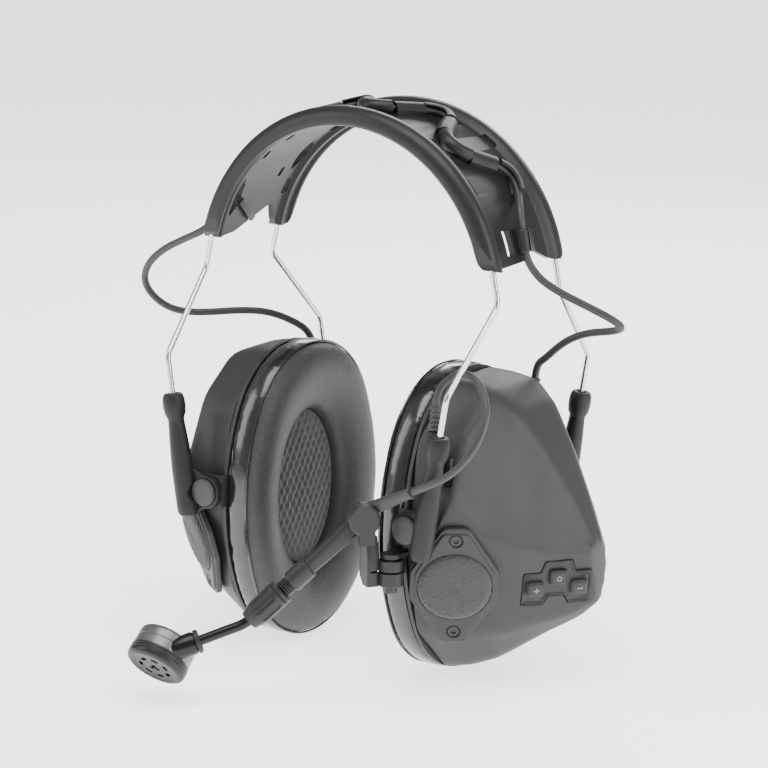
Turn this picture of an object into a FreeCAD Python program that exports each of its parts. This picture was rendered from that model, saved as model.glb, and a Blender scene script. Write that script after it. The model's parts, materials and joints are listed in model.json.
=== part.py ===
"""Communications ear-muff headset with a boom microphone: a parametric FreeCAD document.

The frame: +X is the wearer's left, -Y is forward, +Z is up, in millimetres.
The origin is midway between the two ear cushions, where the wearer's head is.
The cup on the wearer's left carries the buttons, the jack and the boom.
"""
import FreeCAD, Part
import math
import os
from FreeCAD import Matrix, Placement, Rotation, Vector

doc = FreeCAD.newDocument("headset")
sheet = doc.addObject("Spreadsheet::Sheet", "dims")

DIMENSIONS = {
    # headband
    "arch_radius": 59.0,
    "arch_height": 77.0,
    "arch_half_angle": 78.0,
    "rim_spread": 19.2,
    "rim_width": 8.6,
    "rim_depth": 7.2,
    "web_thickness": 2.0,
    "web_radius": 57.4,
    # spring wires
    "wire_radius": 1.0,
    "wire_bend": 5.0,
    # arms
    "collar_radius": 3.85,
    "collar_length": 8.5,
    "arm_neck_radius": 2.8,
    "arm_body_radius": 3.8,
    "arm_length": 43.0,
    "arm_taper_end": 26.0,
    "arm_bore_radius": 1.06,
    "arm_bore_depth": 40.5,
    "foot_radius": 5.6,
    "foot_thickness": 2.9,
    "pivot_radius": 2.5,
    "pivot_head_radius": 4.75,
    "running_gap": 0.05,
    # ear cushion
    "oval_end_radius": 35.0,
    "oval_side_radius": 77.5,
    "opening_half_width": 18.5,
    "opening_half_height": 28.0,
    "cushion_face": 24.0,
    "cushion_depth": 12.6,
    "plate_thickness": 1.3,
    "housing_wall": 2.2,
    # windscreen
    "screen_height": 43.0,
    "screen_width": 29.5,
    "screen_thickness": 2.2,
    "foam_radius": 12.4,
    "foam_thickness": 4.4,
    # buttons
    "button_width": 5.6,
    "button_height": 5.0,
    "button_depth": 2.6,
    # boom
    "eye_radius": 5.2,
    "eye_thickness": 3.4,
    "rod_radius": 1.75,
    "capsule_radius": 10.4,
    # cables
    "cable_radius": 1.3,
}
for row, (alias, value) in enumerate(DIMENSIONS.items(), start=1):
    sheet.set(f"A{row}", alias)
    sheet.set(f"B{row}", str(value))
    sheet.setAlias(f"B{row}", alias)
doc.recompute()

parts = []


def size(alias):
    """A driving dimension, read from the sheet."""
    return float(sheet.get(alias))


def publish(obj, label):
    """Make an object one of the sub-parts, with its own label."""
    obj.Label = label
    parts.append(obj)
    return obj


def axes(origin, x_axis, z_axis):
    """A placement whose local X and Z run along the two given directions."""
    z = Vector(z_axis).normalize()
    y = z.cross(Vector(x_axis)).normalize()
    x = y.cross(z)
    o = Vector(origin)
    return Placement(Matrix(x.x, y.x, z.x, o.x, x.y, y.y, z.y, o.y, x.z, y.z, z.z, o.z, 0, 0, 0, 1))


def along(origin, z_axis):
    """A placement whose local Z runs along a direction."""
    return Placement(Vector(origin), Rotation(Vector(0, 0, 1), Vector(z_axis)))


def bind(obj, **expressions):
    """Bind properties to the sheet's cells."""
    for name, expression in expressions.items():
        obj.setExpression(name, expression)
    return obj


def cylinder(radius, height, place):
    obj = doc.addObject("Part::Cylinder", "cylinder")
    bind(obj, Radius=radius, Height=height)
    obj.Placement = place
    return obj


def cone(radius1, radius2, height, place):
    obj = doc.addObject("Part::Cone", "cone")
    bind(obj, Radius1=radius1, Radius2=radius2, Height=height)
    obj.Placement = place
    return obj


def box(length, width, height, place):
    """A box centred on its placement in X and Y, and rising from it along Z."""
    obj = doc.addObject("Part::Box", "box")
    bind(obj, Length=length, Width=width, Height=height)
    doc.recompute()
    shift = Placement(Vector(-obj.Length.Value / 2, -obj.Width.Value / 2, 0), Rotation())
    obj.Placement = place * shift
    return obj


def fuse(*shapes):
    obj = doc.addObject("Part::MultiFuse", "fusion")
    obj.Shapes = list(shapes)
    obj.Refine = True
    return obj


def cut(base, *tools):
    obj = doc.addObject("Part::Cut", "cut")
    obj.Base = base
    obj.Tool = tools[0] if len(tools) == 1 else fuse(*tools)
    return obj


def group(*shapes):
    """Separate solids in one sub-part."""
    obj = doc.addObject("Part::Compound", "compound")
    obj.Links = list(shapes)
    return obj


def mirrored(source, label, normal):
    """The mirror image of a sub-part through a plane at the origin."""
    obj = doc.addObject("Part::Mirroring", "mirrored")
    obj.Source = source
    obj.Normal = Vector(*normal)
    obj.Base = Vector(0, 0, 0)
    return publish(obj, label)


def origin_plane(body, role):
    return next(f for f in body.Origin.OriginFeatures if f.Role == role)


def new_body(name):
    return doc.addObject("PartDesign::Body", name)


def new_sketch(body, role, offset=None):
    """A sketch on one of the body's own planes, offset along the plane's normal."""
    sketch = body.newObject("Sketcher::SketchObject", "outline")
    sketch.AttachmentSupport = [(origin_plane(body, role), "")]
    sketch.MapMode = "FlatFace"
    if offset is not None:
        sketch.setExpression("AttachmentOffset.Base.z", offset)
    return sketch


def draw_polygon(sketch, points):
    for (x1, y1), (x2, y2) in zip(points, points[1:] + points[:1]):
        sketch.addGeometry(Part.LineSegment(Vector(x1, y1, 0), Vector(x2, y2, 0)), False)


def draw_ellipse(sketch, half_width, half_height):
    """An upright ellipse about the sketch's origin."""
    top = Vector(0, half_height, 0)
    side = Vector(half_width, 0, 0)
    sketch.addGeometry(Part.Ellipse(top, side, Vector(0, 0, 0)), False)


OVAL_END = 18.0            # where the oval's end arcs are centred, above and below its middle
OVAL_SIDE = 38.5           # where its side arcs are centred, beyond its middle


def draw_oval(sketch, grow):
    """The cushion's outline of four tangent arcs, let out by a margin."""
    end_radius = size("oval_end_radius") + grow
    side_radius = size("oval_side_radius") + grow
    span = math.hypot(OVAL_END, OVAL_SIDE)
    y = end_radius * OVAL_SIDE / span
    z = OVAL_END + end_radius * OVAL_END / span
    half_width = side_radius - OVAL_SIDE
    half_height = OVAL_END + end_radius
    joints = [(y, z), (-y, z), (-y, -z), (y, -z)]
    middles = [(0, half_height), (-half_width, 0), (0, -half_height), (half_width, 0)]
    for start, middle, end in zip(joints, middles, joints[1:] + joints[:1]):
        arc = Part.Arc(Vector(*start, 0), Vector(*middle, 0), Vector(*end, 0))
        sketch.addGeometry(arc, False)


def pad(body, sketch, length):
    feature = body.newObject("PartDesign::Pad", "pad")
    feature.Profile = sketch
    feature.setExpression("Length", length)
    return feature


def revolution(body, sketch, axis, angle):
    feature = body.newObject("PartDesign::Revolution", "revolution")
    feature.Profile = sketch
    feature.ReferenceAxis = (sketch, [axis])
    feature.Midplane = True
    feature.setExpression("Angle", angle)
    return feature


def bent_wire(points, radii):
    """Straight runs joined by tangent arcs, one radius for each inner point."""
    points = [Vector(*p) for p in points]
    edges = []
    start = points[0]
    for before, corner, after, radius in zip(points, points[1:], points[2:], radii):
        back = (before - corner).normalize()
        on = (after - corner).normalize()
        half_turn = (math.pi - back.getAngle(on)) / 2
        reach = radius * math.tan(half_turn)
        first = corner + back * reach
        last = corner + on * reach
        middle_way = (back + on).normalize()
        middle = corner + middle_way * (radius / math.cos(half_turn) - radius)
        edges.append(Part.LineSegment(start, first).toShape())
        edges.append(Part.Arc(first, middle, last).toShape())
        start = last
    edges.append(Part.LineSegment(start, points[-1]).toShape())
    return Part.Wire(edges)


def cord_radii(points):
    """Each arc as large as its two runs allow."""
    points = [Vector(*p) for p in points]
    radii = []
    for before, corner, after in zip(points, points[1:], points[2:]):
        turn = math.pi - (before - corner).getAngle(after - corner)
        shorter = min((before - corner).Length, (after - corner).Length)
        radii.append(0.45 * shorter / math.tan(turn / 2))
    return radii


def tube_along(wire, radius):
    """A round rod swept along a wire."""
    first = wire.Edges[0]
    direction = first.tangentAt(first.FirstParameter)
    ring = Part.makeCircle(radius, first.valueAt(first.FirstParameter), direction)
    return wire.makePipeShell([Part.Wire([ring])], True, True)


def cord(label, points, radius):
    """A cable along a hand-chosen route, as a feature with its own shape."""
    radii = cord_radii(points)
    wire = bent_wire(points, radii)
    shape = tube_along(wire, radius)
    expected = math.pi * radius * radius * wire.Length
    print(f"{label}: length {wire.Length:.1f}, volume {shape.Volume / expected:.3f} of section x length,",
          "radii", [round(r, 1) for r in radii])
    obj = doc.addObject("Part::Feature", label)
    obj.Shape = shape
    obj.Placement = Placement()
    return publish(obj, label)


# ---------------------------------------------------------------- headband
ARCH = Vector(0, 0, size("arch_height"))
CABLE_RIDE = 61.0          # radius at which the cable rides over the web
HOOK_ANGLES = (50, 34, 18, 2, -14, -30, -46, -62)
HOOK_OFFSET = 9.0
HOOK_HALF_STEP = 4.0


def on_arch(angle, y, radius):
    """A point on the arch, by its angle from the top towards the wearer's left."""
    a = math.radians(angle)
    return (radius * math.sin(a), y, ARCH.z + radius * math.cos(a))


def arch_place(angle, y, radius):
    """Local Z points out of the arch and local X runs along it."""
    a = math.radians(angle)
    return axes(on_arch(angle, y, radius), (math.cos(a), 0, -math.sin(a)), (math.sin(a), 0, math.cos(a)))


def headband_profile(body, points):
    sketch = new_sketch(body, "YZ_Plane")
    sketch.setExpression("AttachmentOffset.Base.y", "dims.arch_height")
    draw_polygon(sketch, points)
    return revolution(body, sketch, "H_Axis", "2 * dims.arch_half_angle")


def rim_points(side):
    """A rim's octagonal section round its wire."""
    half_w = size("rim_width") / 2
    half_d = size("rim_depth") / 2
    corner = 1.9
    ring = [(-half_w, -half_d + corner), (-half_w + corner, -half_d), (half_w - corner, -half_d),
            (half_w, -half_d + corner), (half_w, half_d - corner), (half_w - corner, half_d),
            (-half_w + corner, half_d), (-half_w, half_d - corner)]
    middle = size("web_radius") + 1.0
    return [(side * (size("rim_spread") + u), middle + v) for u, v in ring]


def make_headband():
    body = new_body("headband_band")
    inner = size("web_radius")
    outer = inner + size("web_thickness")
    edge = size("rim_spread") - size("rim_width") / 2 + 0.8
    headband_profile(body, [(-edge, inner), (edge, inner), (edge, outer), (-edge, outer)])
    for side in (-1, 1):
        headband_profile(body, rim_points(side))
    tools = []
    for index, angle in enumerate(HOOK_ANGLES):
        side = hook_side(index)
        tools.append(box("7", "2.4", "20", arch_place(angle, -side * 13.4, 50)))
        tools.append(box("11", "3.6", "20", arch_place(angle - 1, side * 13.2, 50)))
    wire_bore = [tube_tool(side) for side in (-1, 1)]
    notch_left = prism([(3.0, 84), (4.4, 94.5), (11.5, 84)], 40, 80)
    notch_right = prism([(-7.0, 84), (-6.0, 90.5), (10.0, 98.0), (13.5, 89), (13.5, 84)], -80, -40)
    window = box("6", "5", "20", arch_place(71, -7, 50))
    band = cut(body, notch_left, notch_right, window, *tools, *wire_bore)
    hooks = [make_hook(index) for index in range(len(HOOK_ANGLES))]
    return publish(fuse(band, *hooks), "headband")


def prism(points, x_from, x_to):
    """A prism along X over an outline in Y and Z."""
    obj = doc.addObject("Part::Feature", "prism")
    corners = [Vector(x_from, y, z) for y, z in points]
    face = Part.Face(Part.makePolygon(corners + corners[:1]))
    obj.Shape = face.extrude(Vector(x_to - x_from, 0, 0))
    return obj


def tube_tool(side):
    """The bore in a rim for its wire."""
    obj = doc.addObject("Part::Torus", "bore")
    bind(obj, Radius1="dims.arch_radius", Radius2="dims.wire_radius + 0.02")
    obj.Placement = Placement(Vector(0, side * size("rim_spread"), ARCH.z), Rotation(Vector(1, 0, 0), 90))
    return obj


def hook_side(index):
    return 1 if index % 2 == 0 else -1


def make_hook(index):
    """A short open sleeve that holds the cable down at one turn of its zigzag."""
    angle = HOOK_ANGLES[index]
    y = hook_side(index) * HOOK_OFFSET
    start = Vector(*on_arch(angle - 1.6, y, CABLE_RIDE))
    end = Vector(*on_arch(angle + 1.6, y, CABLE_RIDE))
    place = along(start, end - start)
    outer = cylinder("dims.cable_radius + 1.25", f"{(end - start).Length}", place)
    block = box("3.3", "3.6", "2.4", arch_place(angle, y, 58.6))
    bore = cylinder("dims.cable_radius + 0.03", "12", along(start - (end - start) * 1.0, end - start))
    return cut(fuse(outer, block), bore)


make_headband()


def make_wire(label, side):
    """One spring wire: up from inside one arm, over the head in its rim and down into the other arm."""
    y_rim = side * size("rim_spread")
    y_arm = side * ARM_Y
    angle = math.radians(size("arch_half_angle"))
    radius = size("arch_radius")
    tip = arm_point(30.0, side)
    knee = WIRE_KNEE
    leave = Vector(radius * math.sin(angle), y_rim, ARCH.z + radius * math.cos(angle))
    shoulder = leave + Vector(math.cos(angle), 0, -math.sin(angle)) * 11.5
    left = bent_wire([tip, (knee.x, y_arm, knee.z), shoulder, leave], [size("wire_bend")] * 2)
    right = left.mirror(Vector(0, 0, 0), Vector(1, 0, 0))
    top = Part.Arc(leave, Vector(0, y_rim, ARCH.z + radius), Vector(-leave.x, y_rim, leave.z)).toShape()
    edges = Part.__sortEdges__(left.Edges + [top] + right.Edges)
    obj = doc.addObject("Part::Feature", label)
    obj.Shape = tube_along(Part.Wire(edges), size("wire_radius"))
    obj.Placement = Placement()
    return publish(obj, label)


# ---------------------------------------------------------------- arms
ARM_Y = 44.6
SLIDE_DOWN = Vector(-0.167, 0, -0.986).normalize()
ARM_TOP = Vector(55.0, 0, 38.1)
WIRE_KNEE = Vector(57.2, 0, 51.1)
PIVOT = Vector(41.7, 0, 4.9)
EAR_OUTER = 40.8
FOOT_INNER = 41.0


def arm_point(distance, side):
    """A point on an arm's axis, that far below the top of its collar."""
    point = ARM_TOP + SLIDE_DOWN * distance
    return Vector(point.x, side * ARM_Y, point.z)


make_wire("front_wire", -1)
make_wire("rear_wire", 1)


def make_arm(label):
    """The wearer's left front arm: collar, tapered tube and the foot that turns on the pivot."""
    side = -1
    down = SLIDE_DOWN
    collar = cylinder("dims.collar_radius", "dims.collar_length", along(arm_point(0, side), down))
    neck = cone("dims.arm_neck_radius", "dims.arm_body_radius", "dims.arm_taper_end - 8",
                along(arm_point(8, side), down))
    shaft = cylinder("dims.arm_body_radius", "dims.arm_length - dims.arm_taper_end",
                     along(arm_point(size("arm_taper_end"), side), down))
    foot_start = Vector(PIVOT.x, -FOOT_INNER, PIVOT.z)
    foot = cylinder("dims.foot_radius", "dims.foot_thickness", along(foot_start, (0, -1, 0)))
    bridge = box("8", "10", "dims.foot_thickness",
                 axes((PIVOT.x + 4, -FOOT_INNER, PIVOT.z + 0.6), (1, 0, 0), (0, -1, 0)))
    hole = cylinder("dims.pivot_radius + dims.running_gap", "12", along((PIVOT.x, -38, PIVOT.z), (0, -1, 0)))
    bore = cylinder("dims.arm_bore_radius", "dims.arm_bore_depth", along(arm_point(-0.01, side), down))
    head_start = (PIVOT.x, -FOOT_INNER - size("foot_thickness"), PIVOT.z)
    relief = cylinder("dims.pivot_head_radius + 0.1", "8", along(head_start, (0, -1, 0)))
    solid = fuse(collar, neck, shaft, foot, bridge)
    return publish(cut(solid, hole, bore, relief), label)


left_front_arm = make_arm("left_front_arm")
left_rear_arm = mirrored(left_front_arm, "left_rear_arm", (0, 1, 0))
mirrored(left_front_arm, "right_front_arm", (1, 0, 0))
mirrored(left_rear_arm, "right_rear_arm", (1, 0, 0))

# ---------------------------------------------------------------- cup
PLATE_BACK = 36.7
RIM = 38.1
# Each station is a ten-sided section of the housing at one X: points in Y and Z, from the top front
# corner round the rear, the bottom and the front face to the ridge and the front shoulder.
STATIONS = {
    38.1: [(-14, 50.5), (14, 50.5), (33, 32), (38.3, 0), (32, -33), (13, -51), (-13, -51), (-32, -33),
           (-38.3, -4), (-33, 32)],
    46.0: [(-12, 50), (15, 50), (33.5, 31), (38.3, 1), (32, -31), (14, -49), (-11, -49.5), (-28.5, -33),
           (-38.3, -4), (-33, 31)],
    54.0: [(-12, 47.5), (16, 48.5), (33, 29), (37.5, 1), (31, -28), (14, -45.5), (-8, -46.5), (-22.9, -33),
           (-38.2, 14), (-28, 36)],
    62.0: [(-8, 41), (14, 42.5), (27.5, 23), (32.5, 0), (27, -25), (13, -40), (-5, -41), (-17, -33),
           (-28.5, 2), (-20, 22)],
    70.0: [(-3, 28), (13, 29), (22.5, 14), (27, -4), (23, -21), (12.5, -34.5), (0, -35.5), (-9.7, -30),
           (-18.8, -2.5), (-12, 9)],
    78.0: [(3, 11.5), (12, 12), (17.5, 4), (20.5, -8), (18, -20), (12, -30), (5, -30.5), (-0.5, -28),
           (-8.6, -4.5), (-4, 1)],
    85.0: [(6, -3), (10, -3), (12.5, -6), (13.5, -12), (12.5, -18), (10.5, -23), (8.5, -24), (7, -23),
           (2.0, -6), (3.2, -4)],
}
FACE_AZIMUTH = 35.0        # the windscreen's face, turned from forward towards the outside
PANEL_AZIMUTH = 50.0       # the button panel's face
SCREEN_CENTRE = Vector(52.4, -30.4, -14.4)
PANEL_CENTRE = Vector(76.6, -5.3, -15.4)


def face_normal(azimuth, droop):
    a = math.radians(azimuth)
    p = math.radians(droop)
    return Vector(math.sin(a) * math.cos(p), -math.cos(a) * math.cos(p), -math.sin(p))


def face_place(centre, azimuth, droop, lift=0.0):
    """Local X runs outwards along the face, local Y up it and local Z out of it."""
    a = math.radians(azimuth)
    normal = face_normal(azimuth, droop)
    return axes(centre + normal * lift, (math.cos(a), math.sin(a), 0), normal)


def inset(points, wall):
    """A station moved inwards by a wall."""
    middle_y = sum(y for y, z in points) / len(points)
    middle_z = sum(z for y, z in points) / len(points)
    moved = []
    for y, z in points:
        reach = math.hypot(y - middle_y, z - middle_z)
        k = (reach - 1.25 * wall) / reach
        moved.append((middle_y + (y - middle_y) * k, middle_z + (z - middle_z) * k))
    return moved


def loft_sketches(body, stations):
    sketches = []
    for x, points in stations.items():
        sketch = new_sketch(body, "YZ_Plane", f"{x}")
        draw_polygon(sketch, points)
        sketches.append(sketch)
    return sketches


def make_housing(label, recesses):
    """A hollow moulded housing, lofted through its stations."""
    body = new_body("housing_body")
    outer = loft_sketches(body, STATIONS)
    loft = body.newObject("PartDesign::AdditiveLoft", "outer")
    loft.Profile = outer[0]
    loft.Sections = outer[1:]
    loft.Ruled = True
    doc.recompute()
    wall = size("housing_wall")
    hollow = {x: inset(points, wall) for x, points in STATIONS.items() if x < 80}
    last = hollow.pop(78.0)
    hollow = {38.05 if x < 39 else x: points for x, points in hollow.items()}
    hollow[77.0] = last
    inner = loft_sketches(body, hollow)
    core = body.newObject("PartDesign::SubtractiveLoft", "inner")
    core.Profile = inner[0]
    core.Sections = inner[1:]
    core.Ruled = True
    doc.recompute()
    return publish(cut(body, *recesses), label)


def screen_outline(grow=0.0):
    """The rhombic outline with its cut-off corners, about the face's centre."""
    half_h = size("screen_height") / 2 + grow
    half_w = size("screen_width") / 2 + grow
    tip = 4.2
    side = 5.0
    return [(-tip, half_h), (tip, half_h), (half_w, side), (half_w, -side), (tip, -half_h), (-tip, -half_h),
            (-half_w, -side), (-half_w, side)]


def plate(points, depth, place, name):
    """A padded plate over an outline, in its own place."""
    body = new_body(name)
    sketch = new_sketch(body, "XY_Plane")
    draw_polygon(sketch, points)
    pad(body, sketch, depth)
    body.Placement = place
    return body


def make_windscreen(prefix):
    place = face_place(SCREEN_CENTRE, FACE_AZIMUTH, 15)
    frame = plate(screen_outline(), "dims.screen_thickness", place, "screen_body")
    hole = cylinder("dims.foam_radius + 0.15", "20", place * Placement(Vector(0, 0, -5), Rotation()))
    screws = []
    holes = [hole]
    for v in (17.3, -17.3):
        spot = place * Placement(Vector(0, v, 0), Rotation())
        holes.append(cylinder("2.25", "20", spot * Placement(Vector(0, 0, 1.4), Rotation())))
        holes.append(cylinder("1.3", "20", spot * Placement(Vector(0, 0, -5), Rotation())))
        head = cylinder("2.1", "1.9", spot * Placement(Vector(0, 0, 1.45), Rotation()))
        shank = cylinder("1.2", "1.45", spot)
        socket = prism_at(6, 1.0, 1.2, spot * Placement(Vector(0, 0, 2.3), Rotation()))
        screws.append(cut(fuse(head, shank), socket))
    publish(cut(frame, *holes), prefix + "windscreen_frame")
    foam_place = place * Placement(Vector(0, 0, 0.1), Rotation())
    foam = cylinder("dims.foam_radius", "dims.foam_thickness", foam_place)
    pocket = cylinder("5.0", "1.7", foam_place)
    publish(cut(softened(foam, 2.0, is_front_ring), pocket), prefix + "windscreen_foam")
    publish(cylinder("4.9", "1.5", foam_place), prefix + "outer_microphone")
    publish(group(*screws), prefix + "windscreen_screws")


def is_front_ring(edge, place):
    """A round edge at the far end of a cylinder's own Z."""
    middle = place.inverse().multVec(edge.valueAt(edge.FirstParameter))
    return edge.Closed and middle.z > 1.0


def is_long(edge, place):
    return edge.Length > 4


def softened(base, radius, chosen):
    """A primitive with the chosen edges rounded."""
    doc.recompute()
    soft = doc.addObject("Part::Fillet", "softened")
    soft.Base = base
    edges = enumerate(base.Shape.Edges, start=1)
    soft.Edges = [(i, radius, radius) for i, edge in edges if chosen(edge, base.Placement)]
    return soft


def prism_at(count, radius, height, place):
    obj = doc.addObject("Part::Prism", "prism")
    obj.Polygon = count
    bind(obj, Circumradius=f"{radius}", Height=f"{height}")
    obj.Placement = place
    return obj


def make_cushion(label):
    """A soft oval ring with rounded inner and outer edges."""
    body = new_body("cushion_body")
    sketch = new_sketch(body, "YZ_Plane", "dims.cushion_face")
    draw_oval(sketch, 0.0)
    draw_ellipse(sketch, size("opening_half_width"), size("opening_half_height"))
    ring = pad(body, sketch, "dims.cushion_depth")
    doc.recompute()
    front = [f"Edge{i}" for i, e in enumerate(ring.Shape.Edges, start=1)
             if e.BoundBox.XMax < size("cushion_face") + 0.01 and e.BoundBox.XLength < 0.01]
    fillet = body.newObject("PartDesign::Fillet", "round")
    fillet.Base = (ring, front)
    fillet.Radius = 4.5
    return publish(body, label)


def make_base_plate(label):
    """The plate between cushion and housing, with an ear for each pivot."""
    ring = new_body("base_body")
    sketch = new_sketch(ring, "YZ_Plane", f"{PLATE_BACK}")
    draw_oval(sketch, -0.6)
    draw_ellipse(sketch, 16.5, 26.0)
    pad(ring, sketch, "dims.plate_thickness")
    ears = []
    pins = []
    for side in (-1, 1):
        ears.append(box("9.6", "11", "1.4", axes((PLATE_BACK + 4.8, side * (EAR_OUTER - 1.4), PIVOT.z),
                                                 (1, 0, 0), (0, side, 0))))
        ears.append(box("1.3", "11", "4", axes((PLATE_BACK + 0.65, side * (EAR_OUTER - 4.0), PIVOT.z),
                                               (1, 0, 0), (0, side, 0))))
        start = Vector(PIVOT.x, side * EAR_OUTER, PIVOT.z)
        head = Vector(PIVOT.x, side * (FOOT_INNER + size("foot_thickness") + 0.1), PIVOT.z)
        shank = cylinder("dims.pivot_radius", f"{(head - start).Length}", along(start, (0, side, 0)))
        button = cylinder("dims.pivot_head_radius", "1.4", along(head, (0, side, 0)))
        pins.append(fuse(shank, button))
    publish(fuse(ring, *ears), label + "base_plate")
    publish(group(*pins), label + "pivot_pins")


def make_cup_common():
    """The pieces that both cups have, made for the wearer's left."""
    first = len(parts)
    make_cushion("left_cushion")
    make_base_plate("left_")
    liner = new_body("liner_body")
    sketch = new_sketch(liner, "YZ_Plane", "31.5")
    draw_ellipse(sketch, size("opening_half_width") - 0.4, size("opening_half_height") - 0.4)
    pad(liner, sketch, "5")
    publish(liner, "left_foam_liner")
    speaker = fuse(cylinder("19.5", "5", along((39.2, 0, 2), (1, 0, 0))),
                   cylinder("9", "5", along((44.2, 0, 2), (1, 0, 0))))
    publish(speaker, "left_speaker")
    board = box("38", "44", "1.6", axes((51.2, 2, 0), (0, 1, 0), (1, 0, 0)))
    publish(board, "left_circuit_board")
    screen = face_place(SCREEN_CENTRE, FACE_AZIMUTH, 15)
    seat = plate(screen_outline(0.15), "30", screen, "screen_seat")
    boot_hole = cylinder("2.25", "20", along(BOOT_BASE, BOOT_WAY))
    make_housing("left_housing", [seat, boot_hole] + left_recesses())
    make_windscreen("left_")
    publish(make_cable_boot(), "left_cable_boot")
    common = parts[first:]
    for obj in common:
        if obj.Label != "left_housing":
            mirrored(obj, obj.Label.replace("left_", "right_"), (1, 0, 0))
    make_housing_right([seat, boot_hole])


BOOT_END = Vector(47.1, 26.3, 44.8)
BOOT_WAY = Vector(0.12, -0.05, 1.0).normalize()
BOOT_BASE = BOOT_END - BOOT_WAY * 10.0


def make_cable_boot():
    """The strain relief where the link cable enters a cup."""
    body = cylinder("2.2", "3.6", along(BOOT_BASE, BOOT_WAY))
    neck = cone("1.75", "1.5", "6.0", along(BOOT_BASE + BOOT_WAY * 3.4, BOOT_WAY))
    collar = cylinder("1.95", "0.9", along(BOOT_BASE + BOOT_WAY * 9.1, BOOT_WAY))
    return fuse(body, neck, collar)


PLUG_TOP = Vector(48.6, -37.4, 38.0)


def left_recesses():
    """The recess for the buttons and the one for the jack."""
    panel = face_place(PANEL_CENTRE, PANEL_AZIMUTH, 12, -0.7)
    seat = plate(panel_outline(0.15), "30", panel, "panel_seat")
    jack = box("10", "14", "27", Placement(Vector(48.4, -39.8, 19.2), Rotation()))
    return [seat, jack]


def make_housing_right(recesses):
    left = make_housing("right_housing", recesses)
    parts.remove(left)
    left.Label = "right_housing_source"
    mirrored(left, "right_housing", (1, 0, 0))


# ---------------------------------------------------------------- buttons
BUTTON_SPOTS = {"button_plus": (-7.6, -1.6), "button_power": (0.0, 2.4), "button_minus": (7.6, -1.6)}


def panel_outline(grow=0.0):
    """The stepped outline of the key panel, raised in the middle."""
    low = -7.6 - grow
    side = 12.0 + grow
    shoulder = 4.0 + grow
    crown = 8.2 + grow
    step = 4.6 + grow
    notch = 4.6 - grow
    waist = -4.6 - grow
    return [(-side, low), (-notch, low), (-notch + 1.6, waist), (notch - 1.6, waist), (notch, low), (side, low),
            (side, shoulder), (step + 1.4, shoulder), (step, crown), (-step, crown), (-step - 1.4, shoulder),
            (-side, shoulder)]


def make_buttons():
    panel_place = face_place(PANEL_CENTRE, PANEL_AZIMUTH, 12, -0.7)
    panel = plate(panel_outline(), "1.9", panel_place, "panel_body")
    holes = []
    for label, (u, v) in BUTTON_SPOTS.items():
        spot = panel_place * Placement(Vector(u, v, 0), Rotation())
        holes.append(box("dims.button_width + 0.3", "dims.button_height + 0.3", "6",
                         spot * Placement(Vector(0, 0, -1), Rotation())))
        key = box("dims.button_width", "dims.button_height", "dims.button_depth",
                  spot * Placement(Vector(0, 0, 0.95), Rotation()))
        publish(softened(key, 0.5, is_long), label)
    publish(cut(panel, *holes), "button_panel")


make_cup_common()
make_buttons()

# ---------------------------------------------------------------- inside the cups
battery_cells = [cylinder("5.2", "40", along((-58.5, y, -22), (0, 0, 1))) for y in (-5.6, 6.2)]
publish(group(*battery_cells), "right_batteries")

# ---------------------------------------------------------------- jack, plug and lead
socket = fuse(box("8.6", "1.9", "9", Placement(Vector(48.4, -33.85, 19.6), Rotation())),
              cylinder("3.1", "2.0", along((PLUG_TOP.x, PLUG_TOP.y, 19.6), (0, 0, 1))))
publish(socket, "mic_socket")
plug = fuse(cylinder("2.5", "8.4", along((PLUG_TOP.x, PLUG_TOP.y, 21.6), (0, 0, 1))),
            cylinder("2.8", "8.0", along((PLUG_TOP.x, PLUG_TOP.y, 30.0), (0, 0, 1))))
publish(plug, "mic_plug")
ribs = [cylinder("2.4", "1.1", along((PLUG_TOP.x, PLUG_TOP.y, 38.0 + 2.1 * i), (0, 0, 1))) for i in range(4)]
core = cylinder("1.8", "8.6", along((PLUG_TOP.x, PLUG_TOP.y, 38.0), (0, 0, 1)))
publish(fuse(core, *ribs), "mic_plug_boot")

# ---------------------------------------------------------------- boom and its bracket
POST = Vector(37.0, -45.2, 0)
EYE_AXIS = Vector(0.676, -0.737, 0).normalize()
BOOM_HEADING = Vector(-0.737, -0.676, 0).normalize()
EYE = Vector(30.0, -51.6, 8.9)
BOOM_DROP = math.radians(42.4)
BOOM_WAY = BOOM_HEADING * math.cos(BOOM_DROP) - Vector(0, 0, 1) * math.sin(BOOM_DROP)


def make_boom_mount():
    """A tongue from the base plate with a pin, round which the bracket swings."""
    pin = cylinder("2.2", "11.6", along((POST.x, POST.y, -15.0), (0, 0, 1)))
    tongue = box("6", "5.6", "1.5", Placement(Vector(POST.x + 0.4, -42.1, -4.9), Rotation()))
    head = cylinder("3.2", "1.5", along((POST.x, POST.y, -4.9), (0, 0, 1)))
    root = box("1.3", "2.55", "8.1", Placement(Vector(PLATE_BACK + 0.65, -39.72, -11.5), Rotation()))
    return publish(fuse(pin, tongue, head, root), "boom_mount")


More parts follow.
